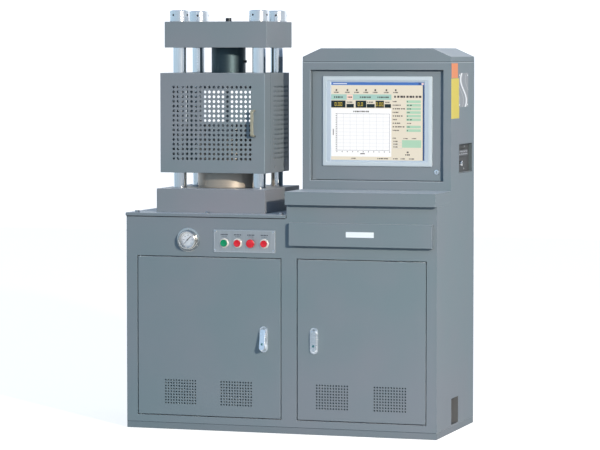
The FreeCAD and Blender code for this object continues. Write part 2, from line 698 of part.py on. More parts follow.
def drawer_runners():
    """Channels on the cabinet walls that the tray's bars slide in."""
    x, y, z = tray_limits()
    level = slide_level()
    length = (FRONT_BACK + DOOR_GAP, FRONT_BACK + DOOR_GAP + RUNNER_LENGTH)
    outer_z = (level[0] - RUNNING - SHEET, level[1] + RUNNING + SHEET)
    channels = []
    for wall, tray_side, outward in ((RIGHT_INSIDE_X[0], x[0], -1), (RIGHT_INSIDE_X[1], x[1], 1)):
        mouth = tray_side + outward * SEAT
        web = tray_side + outward * (SLIDE_BAR + SEAT)
        back = web + outward * SHEET
        channel = block(sorted((back, mouth)), length, outer_z)
        channel = channel.cut(block(sorted((web, mouth)), length, shrink(outer_z, SHEET)))
        for y0 in (length[0], length[1] - RUNNER_SPACER):
            channel = channel.fuse(block(sorted((wall, back)), (y0, y0 + RUNNER_SPACER), level))
        channels.append(channel.removeSplitter())
    save("drawer_runners", *channels)


# Shelf, console and monitor

def shelf():
    """Deep-fronted shelf, open below, whose top sheet runs back as the console's floor."""
    y = (Y_ALL[0] - SHELF_OVERHANG, CONSOLE_FRONT + SHEET)
    z = (SHELF_BOTTOM, SHELF_TOP)
    body = block(RIGHT_X, y, z)
    hollow = block(shrink(RIGHT_X, SHEET), (Y_ALL[0], y[1]), (z[0], z[1] - SHEET))
    nose = block(shrink(RIGHT_X, SHEET), (y[0] + SHEET, Y_ALL[0]), shrink(z, SHEET))
    floor = block(RIGHT_INSIDE_X, (y[1], Y_INSIDE[1]), (z[1] - SHEET, z[1]))
    save("shelf", body.cut([hollow, nose]).fuse(floor).removeSplitter())


def console_front():
    """Front sheet whose recess collar carries the monitor panel's pivot pins."""
    skin_y = (CONSOLE_FRONT, CONSOLE_FRONT + SHEET)
    skin = block(RIGHT_X, skin_y, (SHELF_TOP, EAVE_HEIGHT)).cut(block(RECESS_X, skin_y, RECESS_Z))
    collar_y = (skin_y[1], PANEL_FRONT + SHEET)
    pins = pin_pair(MONITOR_PIVOT_X, MONITOR_PIVOT_Y, shrink(RECESS_Z, DOOR_GAP))
    skin = skin.fuse([collar(RECESS_X, RECESS_Z, collar_y, SHEET), *pins])
    save("console_front", skin.removeSplitter())


def roof_cap():
    """Folded cap with an upright band, sloping shoulders and a flat top."""
    def outline(margin, y):
        low = EAVE_HEIGHT
        band = EAVE_HEIGHT + EAVE_BAND - margin / 2
        ridge = EAVE_HEIGHT + EAVE_BAND + RIDGE_RISE - margin
        left, right = shrink(RIGHT_X, margin)
        shoulder = ROOF_SHOULDER - margin / 2
        points = [(left, low), (right, low), (right, band), (right - shoulder, ridge)]
        points += [(left + shoulder, ridge), (left, band)]
        return [V(x, y, z) for x, z in points]

    depth = Y_ALL[1] - CONSOLE_FRONT
    outer = polygon_prism(outline(0, CONSOLE_FRONT), V(0, depth, 0))
    inner = polygon_prism(outline(SHEET, CONSOLE_FRONT + SHEET), V(0, depth - 2 * SHEET, 0))
    save("roof_cap", outer.cut(inner))


def monitor_panel():
    """Hinged panel that closes the recess, with tabs for its pins and a cut-out for the monitor."""
    x = shrink(RECESS_X, PANEL_GAP)
    z = shrink(RECESS_Z, DOOR_GAP)
    y = (PANEL_FRONT, PANEL_FRONT + SHEET)
    panel = block(x, y, z).cut(block(SCREEN_X, y, SCREEN_Z))
    tab_x = (x[0], MONITOR_PIVOT_X + PIVOT_INSET)
    tab_y = (MONITOR_PIVOT_Y - PIVOT_RADIUS - SHEET, PANEL_FRONT)
    tabs = [block(tab_x, tab_y, tab_z) for tab_z in ((z[0], z[0] + SHEET), (z[1] - SHEET, z[1]))]
    holes = pin_holes(MONITOR_PIVOT_X, MONITOR_PIVOT_Y, z)
    hole_radius = flats_at(CAM_LOCK_SHAFT + RUNNING, HIDDEN_SIDES)
    lock_hole = drum(hole_radius, HIDDEN_SIDES, V(CAM_LOCK_X, y[0], CAM_LOCK_Z), Y_AXIS, SHEET)
    save("monitor_panel", panel.fuse(tabs).cut([lock_hole, *holes]).removeSplitter())


def monitor():
    """Bezel in front of the panel, housing behind it, and the screen between them."""
    bezel_y = (PANEL_FRONT - BEZEL_PROUD, PANEL_FRONT)
    bezel = block(BEZEL_X, bezel_y, BEZEL_Z).cut(block(SCREEN_X, bezel_y, SCREEN_Z))
    screen_y = (PANEL_FRONT - BEZEL_PROUD / 2, PANEL_FRONT)
    save("monitor_screen", block(SCREEN_X, screen_y, SCREEN_Z))
    plug = block(SCREEN_X, (PANEL_FRONT, PANEL_FRONT + SHEET), SCREEN_Z)
    back_y = (PANEL_FRONT + SHEET, PANEL_FRONT + SHEET + MONITOR_DEPTH)
    back = block(shrink(BEZEL_X, SHEET), back_y, shrink(BEZEL_Z, SHEET))
    save("monitor_case", bezel, plug.fuse(back).removeSplitter())


def cam_lock():
    """Round lock in the monitor panel; its cam turns behind the recess collar."""
    head_start = V(CAM_LOCK_X, PANEL_FRONT - CAM_LOCK_PROUD, CAM_LOCK_Z)
    head = drum(CAM_LOCK_RADIUS, ROUND_SIDES, head_start, Y_AXIS, CAM_LOCK_PROUD)
    cam_y = (PANEL_FRONT + 2 * SHEET, PANEL_FRONT + 2 * SHEET + CAM_THICKNESS)
    shaft = rod(CAM_LOCK_SHAFT, head_start, Y_AXIS, cam_y[1] - head_start.y)
    reach = RECESS_X[1] + SHEET + CAM_OVERLAP - CAM_LOCK_X
    cam = block(span(CAM_LOCK_X, CAM_WIDTH), cam_y, (CAM_LOCK_Z - CAM_WIDTH / 2, CAM_LOCK_Z + reach))
    save("cam_lock", head.fuse([shaft, cam]).removeSplitter())


def socket_panel():
    """Tray let into the right side, with a long multi-way socket and a round one."""
    x = (X_ALL[1] - SOCKET_PANEL_DEPTH, X_ALL[1])
    y = shrink(SOCKET_PANEL_Y, SEAT)
    z = shrink(SOCKET_PANEL_Z, SEAT)
    tray = block(x, y, z).cut(block((x[0] + SHEET, x[1]), shrink(y, SHEET), shrink(z, SHEET)))
    seat = x[0] + SHEET
    long_socket = block((seat, seat + LONG_SOCKET_PROUD), LONG_SOCKET_Y, LONG_SOCKET_Z)
    round_start = V(seat, ROUND_SOCKET_Y, ROUND_SOCKET_Z)
    round_socket = drum(ROUND_SOCKET_RADIUS, ROUND_SIDES, round_start, X_AXIS, LONG_SOCKET_PROUD)
    save("socket_panel", tray, long_socket, round_socket)


# Load frame

def column_bores(z):
    radius = COLUMN_RADIUS + RUNNING
    bores = []
    for x in COLUMN_X:
        for y in COLUMN_Y:
            bores.append(drum(radius, COLUMN_SIDES, V(x, y, z[0]), Z_AXIS, z[1] - z[0]))
    return bores


def base_block():
    z = (PLATE_TOP, BLOCK_TOP)
    body = block(span(FRAME_X, BLOCK_SIZE[0]), span(FRAME_Y, BLOCK_SIZE[1]), z)
    sockets = column_bores((BLOCK_TOP - COLUMN_SOCKET, BLOCK_TOP))
    save("base_block", body.cut([pipe_bore(z), *sockets]))


def columns_and_nuts():
    """Columns from their sockets up through the crosshead, each closed by a round nut."""
    bottom = BLOCK_TOP - COLUMN_SOCKET
    columns = []
    nuts = []
    for x in COLUMN_X:
        for y in COLUMN_Y:
            foot = V(x, y, bottom)
            columns.append(drum(COLUMN_RADIUS, COLUMN_SIDES, foot, Z_AXIS, CROSSHEAD_TOP - bottom))
            nuts.append(drum(NUT_RADIUS, NUT_SIDES, V(x, y, CROSSHEAD_TOP), Z_AXIS, NUT_HEIGHT))
    save("columns", *columns)
    save("column_nuts", *nuts)


def crosshead():
    z = (CROSSHEAD_BOTTOM, CROSSHEAD_TOP)
    body = block(span(FRAME_X, CROSSHEAD_SIZE[0]), span(FRAME_Y, CROSSHEAD_SIZE[1]), z)
    save("crosshead", body.cut(column_bores(z)))


def ball_cap(radius):
    """Cap of a ball about the middle of the upper platen's face, turned in a few bands."""
    stations = []
    for slope in SEAT_BANDS:
        angle = math.radians(slope)
        stations.append((radius * math.sin(angle), radius * math.cos(angle)))
    return tapered(stations, SEAT_SIDES, V(FRAME_X, FRAME_Y, UPPER_FACE), Z_AXIS)


def ball_seat():
    """Spacer with a ball-shaped seat, a liner in it, and the platen whose dome turns there."""
    liner_outer = BALL_RADIUS + BALL_GAP + LINER
    recess = liner_outer + BALL_GAP
    rim = math.cos(math.radians(SEAT_BANDS[0]))
    foot = V(FRAME_X, FRAME_Y, UPPER_FACE + recess * rim)
    spacer = drum(SPACER_RADIUS, SPACER_SIDES, foot, Z_AXIS, CROSSHEAD_BOTTOM - foot.z)
    screw_start = V(FRAME_X + SPACER_RADIUS - LINER, FRAME_Y, LOCK_SCREW_Z)
    screw = drum(LOCK_SCREW_RADIUS, HIDDEN_SIDES, screw_start, X_AXIS, LOCK_SCREW_HEAD)
    save("upper_spacer", spacer.cut(ball_cap(recess)).fuse(screw).removeSplitter())
    save("seat_liner", ball_cap(liner_outer).cut(ball_cap(BALL_RADIUS + BALL_GAP)))
    middle = V(FRAME_X, FRAME_Y, UPPER_FACE)
    platen = drum(PLATEN_RADIUS, PLATEN_SIDES, middle, Z_AXIS, UPPER_PLATEN_THICKNESS)
    neck_radius = BALL_RADIUS * math.sin(math.radians(SEAT_BANDS[0]))
    neck = drum(neck_radius, SEAT_SIDES, middle, Z_AXIS, BALL_RADIUS * rim)
    save("upper_platen", platen.fuse([neck, ball_cap(BALL_RADIUS)]).removeSplitter())


def cylinder_and_ram():
    """Jack: the cylinder on the base block, and its ram with the lower platen on top."""
    body = drum(CYLINDER_RADIUS, PLATEN_SIDES, V(FRAME_X, FRAME_Y, BLOCK_TOP), Z_AXIS, CYLINDER_HEIGHT)
    floor = BLOCK_TOP + CYLINDER_FLOOR
    bore = drum(RAM_RADIUS + RUNNING, PLATEN_SIDES, V(FRAME_X, FRAME_Y, floor), Z_AXIS, CYLINDER_HEIGHT)
    save("cylinder", body.cut([bore, oil_port()]))
    ram_bottom = floor + SEAT
    foot = V(FRAME_X, FRAME_Y, ram_bottom)
    save("ram", drum(RAM_RADIUS, PLATEN_SIDES, foot, Z_AXIS, RAM_TOP - ram_bottom))
    foot = V(FRAME_X, FRAME_Y, RAM_TOP)
    save("lower_platen", drum(PLATEN_RADIUS, PLATEN_SIDES, foot, Z_AXIS, LOWER_PLATEN_THICKNESS))


# Guard

def hole_field(centre_x, y, centre_z):
    """Wires of the punched holes, each with few sides to keep the mesh light."""
    wires = []
    for column in range(HOLE_COLUMNS):
        for row in range(HOLE_ROWS):
            x = centre_x + (column - (HOLE_COLUMNS - 1) / 2) * HOLE_PITCH
            z = centre_z + (row - (HOLE_ROWS - 1) / 2) * HOLE_PITCH
            wires.append(many_sided(HOLE_RADIUS, HOLE_SIDES, V(x, y, z), Y_AXIS))
    return wires


def guard_door():
    """Perforated sheet folded back at both sides, with lips along its top and bottom."""
    x = GUARD_X
    z = GUARD_Z
    y = (GUARD_FRONT_Y, GUARD_SEAM_Y - GUARD_SEAM)
    corners = [(x[0], z[0]), (x[1], z[0]), (x[1], z[1]), (x[0], z[1]), (x[0], z[0])]
    outline = Part.makePolygon([V(px, y[0], pz) for px, pz in corners])
    holes = hole_field(FRAME_X + HOLE_SHIFT, y[0], GUARD_MIDDLE)
    front = Part.makeFace([outline, *holes], "Part::FaceMakerBullseye").extrude(V(0, GUARD_SHEET, 0))
    lip_y = (y[0], y[0] + GUARD_LIP)
    folds = [
        block((x[0], x[0] + GUARD_SHEET), y, z),
        block((x[1] - GUARD_SHEET, x[1]), y, z),
        block(x, lip_y, (z[0], z[0] + GUARD_SHEET)),
        block(x, lip_y, (z[1] - GUARD_SHEET, z[1])),
    ]
    save("guard_door", front.fuse(folds).removeSplitter())


def guard_handle():
    """Bow handle: a flat bar on two feet."""
    x = span(FRAME_X + HANDLE_OFFSET, HANDLE_WIDTH)
    z = span(GUARD_MIDDLE, HANDLE_LENGTH)
    y = (GUARD_FRONT_Y - HANDLE_STAND_OFF - HANDLE_THICKNESS, GUARD_FRONT_Y)
    bow = block(x, y, z)
    gap = block(x, (y[0] + HANDLE_THICKNESS, y[1]), shrink(z, HANDLE_THICKNESS))
    save("guard_handle", bow.cut(gap))


def guard_sides():
    y = (GUARD_SEAM_Y, GUARD_BACK_Y)
    left = block((GUARD_X[0], GUARD_X[0] + GUARD_SHEET), y, GUARD_Z)
    right = block((GUARD_X[1] - GUARD_SHEET, GUARD_X[1]), y, GUARD_Z)
    save("guard_side_panels", left, right)


def guard_rear_panel():
    """Sheet behind the rear columns with three tall windows."""
    y = (CLAMP_BACK, CLAMP_BACK + GUARD_SHEET)
    panel = block(shrink(GUARD_X, REAR_PANEL_INSET), y, GUARD_Z)
    bars = [FRAME_X - WINDOW_BAR_OFFSET, FRAME_X + WINDOW_BAR_OFFSET]
    half_bar = WINDOW_BAR / 2
    windows = [
        (COLUMN_X[0] - COLUMN_RADIUS, bars[0] - half_bar),
        (bars[0] + half_bar, bars[1] - half_bar),
        (bars[1] + half_bar, COLUMN_X[1] + COLUMN_RADIUS),
    ]
    save("guard_rear_panel", panel.cut([block(x, y, WINDOW_Z) for x in windows]))


def column_clamps():
    """Blocks round the rear columns that carry the guard's side and rear panels."""
    clamps = []
    for z0 in (GUARD_Z[0] + CLAMP_EDGE, GUARD_Z[1] - CLAMP_EDGE - CLAMP_THICKNESS):
        z = (z0, z0 + CLAMP_THICKNESS)
        for column_x, side in ((COLUMN_X[0], -1), (COLUMN_X[1], 1)):
            panel_x = FRAME_X + side * (GUARD_WIDTH / 2 - GUARD_SHEET)
            inner_x = column_x - side * CLAMP_REACH
            rear_x = column_x + side * (COLUMN_RADIUS + SHEET)
            body = block(sorted((panel_x, inner_x)), (GUARD_BACK_Y - CLAMP_REACH, GUARD_BACK_Y), z)
            body = body.fuse(block(sorted((rear_x, inner_x)), (GUARD_BACK_Y, CLAMP_BACK), z))
            clamps.append(body.cut(column_bores(z)).removeSplitter())
    save("column_clamps", *clamps)


def guard_hinges():
    """Two hinges on the left: the fixed half holds the pin, the door's half turns on it."""
    axis_x = GUARD_X[0] - HINGE_OFFSET
    axis_y = GUARD_SEAM_Y - GUARD_SEAM / 2
    leaf_x = (axis_x, GUARD_X[0])
    fixed_y = (axis_y + GUARD_SEAM / 2, axis_y + HINGE_LEAF)
    door_y = (axis_y - HINGE_LEAF, axis_y - GUARD_SEAM / 2)
    fixed = []
    moving = []
    for rise in HINGE_HEIGHTS:
        z0 = GUARD_Z[0] + rise
        foot = V(axis_x, axis_y, z0)
        lug = drum(HINGE_KNUCKLE, HIDDEN_SIDES, foot, Z_AXIS, HINGE_LUG)
        leaf = block(leaf_x, fixed_y, (z0, z0 + HINGE_LUG))
        pin = drum(HINGE_PIN, HIDDEN_SIDES, foot, Z_AXIS, 2 * HINGE_LUG)
        fixed.append(leaf.fuse([lug, pin]).removeSplitter())
        z1 = z0 + HINGE_LUG + SEAT
        upper = V(axis_x, axis_y, z1)
        lug = drum(HINGE_KNUCKLE, HIDDEN_SIDES, upper, Z_AXIS, HINGE_LUG)
        leaf = block(leaf_x, door_y, (z1, z1 + HINGE_LUG))
        bore_radius = HINGE_PIN + RUNNING
        bore = drum(flats_at(bore_radius, HIDDEN_SIDES), HIDDEN_SIDES, upper, Z_AXIS, HINGE_LUG)
        if rise == HINGE_HEIGHTS[0]:
            bore = rod(bore_radius, upper, Z_AXIS, HINGE_LUG)
        moving.append(lug.fuse(leaf).cut(bore).removeSplitter())
    save("guard_hinge_pins", *fixed)
    save("guard_hinge_leaves", *moving)


# Front controls

def gauge():
    """Bourdon-tube pressure gauge; its needle points to the start of the scale."""
    face_y = Y_ALL[0] - SHEET
    front = V(GAUGE_X, face_y - GAUGE_PROUD, GAUGE_Z)
    flange = drum(GAUGE_FLANGE, DIAL_SIDES, V(GAUGE_X, face_y, GAUGE_Z), Y_AXIS, SHEET)
    bezel = drum(GAUGE_BEZEL, DIAL_SIDES, front, Y_AXIS, GAUGE_PROUD)
    stem_y = (face_y, Y_ALL[0] + GAUGE_STEM_LENGTH)
    stem = block(span(GAUGE_X, GAUGE_STEM), stem_y, span(GAUGE_Z, GAUGE_STEM))
    recess = drum(DIAL_RADIUS, DIAL_SIDES, front, Y_AXIS, GAUGE_PROUD - SHEET)
    shaft_length = GAUGE_PROUD / 2 + GAUGE_STEM_LENGTH / 2
    shaft_start = V(GAUGE_X, face_y - GAUGE_PROUD / 2, GAUGE_Z)
    bore_radius = flats_at(NEEDLE_SHAFT + RUNNING, HIDDEN_SIDES)
    bore = drum(bore_radius, HIDDEN_SIDES, shaft_start, Y_AXIS, shaft_length + SEAT)
    save("gauge_case", flange.fuse([bezel, stem]).cut([recess, bore]).removeSplitter())
    glass_start = front + V(0, GLASS_SET_BACK, 0)
    save("gauge_glass", drum(DIAL_RADIUS, DIAL_SIDES, glass_start, Y_AXIS, SHEET))
    hub = drum(NEEDLE_HUB, HIDDEN_SIDES, shaft_start, Y_AXIS, SHEET)
    shaft = rod(NEEDLE_SHAFT, shaft_start, Y_AXIS, shaft_length)
    tail_z = GAUGE_Z - NEEDLE_TAIL
    tip_z = GAUGE_Z + NEEDLE_LENGTH
    outline = [
        V(GAUGE_X - NEEDLE_WIDTH, shaft_start.y, tail_z),
        V(GAUGE_X + NEEDLE_WIDTH, shaft_start.y, tail_z),
        V(GAUGE_X, shaft_start.y, tip_z),
    ]
    needle = polygon_prism(outline, V(0, NEEDLE_WIDTH, 0)).fuse([hub, shaft]).removeSplitter()
    needle.rotate(V(GAUGE_X, 0, GAUGE_Z), Y_AXIS, NEEDLE_START)
    save("gauge_needle", needle)


def square_bar(centre, side, y):
    return block(span(centre.x, side), y, span(centre.z, side))


def buttons():
    """Plate with four push-buttons on square posts; one of them is a mushroom head."""
    face_y = Y_ALL[0] - SHEET
    centres = {}
    for n, node in enumerate(BUTTONS):
        centres[node] = V(BUTTON_FIRST_X + n * BUTTON_PITCH, face_y, BUTTON_Z)
    plate = block(BUTTON_PLATE_X, (face_y, Y_ALL[0]), BUTTON_PLATE_Z)
    post_end = Y_ALL[0] + BUTTON_POST_LENGTH
    well_y = (Y_ALL[0], post_end + BUTTON_TRAVEL + SEAT)
    bore = BUTTON_POST + 2 * RUNNING
    collars = []
    contacts = []
    cap_back = face_y - CAP_PROUD + CAP_DEPTH
    for node, centre in centres.items():
        plate = plate.cut(square_bar(centre, bore, (face_y, Y_ALL[0])))
        x = span(centre.x, CONTACT_SIZE[0])
        body = block(x, (Y_ALL[0], Y_ALL[0] + CONTACT_SIZE[1]), span(BUTTON_Z, CONTACT_SIZE[2]))
        contacts.append(body.cut(square_bar(centre, bore, well_y)))
        post = square_bar(centre, BUTTON_POST, (cap_back - SHEET / 2, post_end))
        if node == MUSHROOM:
            start = V(centre.x, cap_back - MUSHROOM_DEPTH, centre.z)
            stations = [(MUSHROOM_FACE, 0)]
            stations += [(MUSHROOM_RADIUS, depth) for depth in (MUSHROOM_DEPTH / 2, MUSHROOM_DEPTH)]
            cap = tapered(stations, CAP_SIDES, start, Y_AXIS)
        else:
            cap_start = V(centre.x, cap_back - CAP_DEPTH, centre.z)
            cap = drum(CAP_RADIUS, CAP_SIDES, cap_start, Y_AXIS, CAP_DEPTH)
            start = V(centre.x, face_y - COLLAR_PROUD, centre.z)
            shell = drum(COLLAR_RADIUS, CAP_SIDES, start, Y_AXIS, COLLAR_PROUD)
            bore_tool = drum(CAP_RADIUS + SEAT, CAP_SIDES, start, Y_AXIS, COLLAR_PROUD)
            collars.append(shell.cut(bore_tool))
        save(node, cap.fuse(post).removeSplitter())
    save("button_plate", plate, *collars)
    save("contact_blocks", *contacts)


# Inside the cabinets

def power_pack():
    """Oil tank with the motor, pump and valve block on its lid, and the pipe up to the jack."""
    tank_x = span(FRAME_X, TANK_SIZE[0])
    tank_y = span(FRAME_Y, TANK_SIZE[1])
    tank_z = (FLOOR_TOP, FLOOR_TOP + TANK_SIZE[2])
    tank = block(tank_x, tank_y, tank_z)
    tank = tank.cut(block(shrink(tank_x, SHEET), shrink(tank_y, SHEET), (tank_z[0] + SHEET, tank_z[1])))
    lid_top = tank_z[1] + TANK_LID
    lid = block(shrink(tank_x, -TANK_LID_LIP), shrink(tank_y, -TANK_LID_LIP), (tank_z[1], lid_top))
    save("oil_tank", tank, lid)
    axis_y = FRAME_Y - MOTOR_SIDE_STEP
    motor_z = lid_top + MOTOR_FOOT + MOTOR_RADIUS
    motor = drum(MOTOR_RADIUS, CAP_SIDES, V(tank_x[0], axis_y, motor_z), X_AXIS, MOTOR_LENGTH)
    foot_x = shrink((tank_x[0], tank_x[0] + MOTOR_LENGTH), MOTOR_FOOT)
    foot = block(foot_x, span(axis_y, MOTOR_RADIUS), (lid_top, motor_z))
    pump_x = (tank_x[0] + MOTOR_LENGTH, tank_x[0] + MOTOR_LENGTH + PUMP_SIZE[0])
    pump = block(pump_x, span(axis_y, PUMP_SIZE[1]), span(motor_z, PUMP_SIZE[2]))
    valve_z = (lid_top, lid_top + VALVE_SIZE[2])
    valves = block(span(PIPE_X, VALVE_SIZE[0]), span(PIPE_Y, VALVE_SIZE[1]), valve_z)
    pipe_start = V(PIPE_X, PIPE_Y, valve_z[1])
    pipe = drum(PIPE_RADIUS, HIDDEN_SIDES, pipe_start, Z_AXIS, BLOCK_TOP - valve_z[1])
    pipe = pipe.cut(drum(PIPE_BORE, HIDDEN_SIDES, pipe_start, Z_AXIS, BLOCK_TOP - valve_z[1]))
    save("pump_unit", motor.fuse(foot).removeSplitter(), pump, valves, pipe)


def oil_port():
    """Hole from the pipe's end up into the cylinder's bore."""
    return drum(PIPE_BORE, HIDDEN_SIDES, V(PIPE_X, PIPE_Y, BLOCK_TOP), Z_AXIS, CYLINDER_FLOOR)


def electronics():
    """Computer on the floor by the right side, and the control box above it on the rear cover."""
    computer_right = RIGHT_INSIDE_X[1] - COMPUTER_SIDE_GAP
    computer_x = (computer_right - COMPUTER_SIZE[0], computer_right)
    computer_z = (FLOOR_TOP, FLOOR_TOP + COMPUTER_SIZE[2])
    save("computer", block(computer_x, span(FRAME_Y, COMPUTER_SIZE[1]), computer_z))
    box_left = RIGHT_INSIDE_X[0] + CONTROL_BOX_SIDE_GAP
    box_y = (Y_INSIDE[1] - CONTROL_BOX_SIZE[1], Y_INSIDE[1])
    box_bottom = computer_z[1] + CONTROL_BOX_ABOVE
    box_z = (box_bottom, box_bottom + CONTROL_BOX_SIZE[2])
    save("control_box", block((box_left, box_left + CONTROL_BOX_SIZE[0]), box_y, box_z))


def build():
    os.makedirs("parts", exist_ok=True)
    base_frame()
    floor_sheets()
    front_fascia()
    side_sheets()
    rear_covers()
    work_plate()
    inner_stand()
    for side, door_x, lock_x, popped_out in (
        ("left", LEFT_DOOR_X, LOCK_LEFT_X, LEVER_POP_OUT),
        ("right", RIGHT_DOOR_X, LOCK_RIGHT_X, 0),
    ):
        cabinet_door(side + "_door", door_x, lock_x, side == "left")
        lock_body(side + "_lock_body", lock_x)
        lock_spindle(side + "_lock_spindle", lock_x)
        lock_lever(side + "_lock_lever", lock_x, popped_out)
    drawer()
    drawer_runners()
    shelf()
    console_front()
    roof_cap()
    monitor_panel()
    monitor()
    cam_lock()
    socket_panel()
    base_block()
    columns_and_nuts()
    crosshead()
    ball_seat()
    cylinder_and_ram()
    guard_door()
    guard_handle()
    guard_sides()
    guard_rear_panel()
    column_clamps()
    guard_hinges()
    gauge()
    buttons()
    power_pack()
    electronics()


build()
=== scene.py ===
import math

import bmesh
import bpy
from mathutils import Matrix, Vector


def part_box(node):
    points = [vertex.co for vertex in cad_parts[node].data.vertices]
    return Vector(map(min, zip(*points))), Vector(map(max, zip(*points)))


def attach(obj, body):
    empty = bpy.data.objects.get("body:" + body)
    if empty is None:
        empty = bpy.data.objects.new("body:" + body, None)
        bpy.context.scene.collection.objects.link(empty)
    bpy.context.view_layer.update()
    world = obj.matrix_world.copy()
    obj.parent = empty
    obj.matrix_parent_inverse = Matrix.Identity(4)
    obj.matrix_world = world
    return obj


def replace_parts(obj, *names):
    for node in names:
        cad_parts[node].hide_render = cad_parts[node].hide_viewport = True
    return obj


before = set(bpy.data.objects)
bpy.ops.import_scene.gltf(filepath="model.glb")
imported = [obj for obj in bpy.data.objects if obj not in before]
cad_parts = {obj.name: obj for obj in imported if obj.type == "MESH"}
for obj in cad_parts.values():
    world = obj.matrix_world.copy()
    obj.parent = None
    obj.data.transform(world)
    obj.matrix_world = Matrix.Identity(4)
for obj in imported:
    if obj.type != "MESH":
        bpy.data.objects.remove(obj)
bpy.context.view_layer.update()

MM = 0.001

# Places on the machine, in millimetres, with the origin in the middle of the base
FRONT_Y = -251.0
RIGHT_X = 567.0
FRAME_X = -275.5
FRAME_Y = 9.5
COLUMN_X = (-424.25, -126.75)
COLUMN_Y = (-90.5, 109.5)
COLUMN_RADIUS = 24.0
NUT_RADIUS = 35.5
PLATEN_RADIUS = 110.0
RAM_RADIUS = 75.0
SEAT_RADIUS = 80.0
BUTTON_Z = 661.0
LOCK_X = {"left": -56.0, "right": 127.5}
LOCK_PIVOT_Z = 361.0
LEVER_PIN_Y = -258.1

# Punched fields: first hole, counts and pitch
GUARD_HOLES = {"first": (-420.3, 951.0), "counts": (18, 16), "pitch": 16.8, "radius": 5.0}
GUARD_SIDE_HOLES = {"first": (-64.0, 951.0), "counts": (10, 16), "pitch": 16.8, "radius": 5.0}
VENT_COUNTS = (12, 9)
VENT_PITCH = 10.05
VENT_RADIUS = 3.1
VENTS = {
    "left_door": ((-420.8, 93.0), (-213.9, 93.0)),
    "right_door": ((136.8, 93.0), (345.2, 93.0)),
}
HOLE_SIDES = 16

# Colours as linear values
PAINT_BLUE_GREY = (0.182, 0.228, 0.260)
PAINT_BLOCK = (0.215, 0.240, 0.272)
PAINT_GUARD = (0.190, 0.232, 0.262)
# Pale colour painted on upward faces as a sheen, in place of their reflection
PAINTED_TOP_SHEEN = (0.72, 0.78, 0.84, 1)


def box_mm(node):
    low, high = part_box(node)
    return low / MM, high / MM


def linear(red, green, blue):
    """Linear colour of an eight-bit display colour."""
    values = []
    for value in (red, green, blue):
        share = value / 255
        values.append(share / 12.92 if share <= 0.04045 else ((share + 0.055) / 1.055) ** 2.4)
    return tuple(values)


# Materials

def fill(tree, node, inputs):
    """Gives each named input a plain value or the output of another node."""
    for key, value in inputs.items():
        if isinstance(value, bpy.types.NodeSocket):
            tree.links.new(value, node.inputs[key])
        else:
            node.inputs[key].default_value = value


def add_node(tree, kind, inputs):
    node = tree.nodes.new(kind)
    fill(tree, node, inputs)
    return node


def calculate(tree, operation, *values):
    node = add_node(tree, "ShaderNodeMath", dict(enumerate(values)))
    node.operation = operation
    return node.outputs["Value"]


def map_range(tree, source, limits):
    return add_node(tree, "ShaderNodeMapRange", {"Value": source, **limits}).outputs["Result"]


def mix_colours(tree, share, first, second, blend="MIX"):
    mix = tree.nodes.new("ShaderNodeMix")
    mix.data_type = "RGBA"
    mix.blend_type = blend
    fill(tree, mix, {0: share, 6: first, 7: second})
    return mix.outputs[2]


def add_ramp(tree, source, stops):
    """Colour ramp through positions and colours."""
    ramp = add_node(tree, "ShaderNodeValToRGB", {"Fac": source})
    elements = ramp.color_ramp.elements
    for n, (position, colour) in enumerate(stops):
        element = elements[n] if n < 2 else elements.new(position)
        element.position = position
        element.color = (*colour, 1)
    return ramp.outputs["Color"]


def scaled(colour, *shares):
    return tuple(value * share for value, share in zip(colour, shares * 3))


def coordinate_parts(tree, kind):
    """X, Y and Z of a texture coordinate."""
    coordinates = add_node(tree, "ShaderNodeTexCoord", {})
    return add_node(tree, "ShaderNodeSeparateXYZ", {"Vector": coordinates.outputs[kind]}).outputs


def add_noise(tree, scale, detail, stretch=(1, 1, 1)):
    """Noise in object space, stretched along an axis where the finish has a direction."""
    coordinates = add_node(tree, "ShaderNodeTexCoord", {})
    mapping = add_node(tree, "ShaderNodeMapping", {"Vector": coordinates.outputs["Object"], "Scale": stretch})
    inputs = {"Vector": mapping.outputs["Vector"], "Scale": scale, "Detail": detail}
    return add_node(tree, "ShaderNodeTexNoise", inputs).outputs["Fac"]


def add_bump(tree, noise, strength, distance):
    inputs = {"Height": noise, "Strength": strength, "Distance": distance}
    return add_node(tree, "ShaderNodeBump", inputs).outputs["Normal"]


def drifting(tree, noise, colour, spread):
    """Colour that drifts a little darker and lighter with the noise."""
    return add_ramp(tree, noise, ((0.3, scaled(colour, 1 - spread)), (0.7, scaled(colour, 1 + spread))))


def with_painted_top_sheen(tree, colour, amount):
    """Colour with a painted pale sheen on the faces that look upward, in place of their reflection."""
    upward = coordinate_parts(tree, "Normal")["Z"]
    return mix_colours(tree, map_range(tree, upward, {"From Min": 0.3, "To Max": amount}), colour, PAINTED_TOP_SHEEN)


def new_material(name):
    material = bpy.data.materials.new(name)
    material.use_nodes = True
    return material, material.node_tree


def shade(tree, inputs):
    fill(tree, tree.nodes["Principled BSDF"], inputs)


def painted(name, colour, roughness=0.45):
    """Baked enamel on sheet steel: a slow drift of tone and hue, a painted pale sheen on top, a fine orange
    peel.
    """
    material, tree = new_material(name)
    clouds = add_noise(tree, 2.6, 3.0)
    cool, warm = scaled(colour, 0.92, 0.99, 0.99), scaled(colour, 1.07, 1.01, 1.03)
    shade(tree, {
        "Base Color": with_painted_top_sheen(tree, add_ramp(tree, clouds, ((0.35, cool), (0.65, warm))), 0.45),
        "Roughness": map_range(tree, clouds, {"To Min": roughness - 0.06, "To Max": roughness + 0.06}),
        "Normal": add_bump(tree, add_noise(tree, 900.0, 2.0), 0.10, 0.0003),
        "Specular IOR Level": 0.08,
        "Coat Weight": 0.03,
        "Coat Roughness": 0.15,
    })
    return material


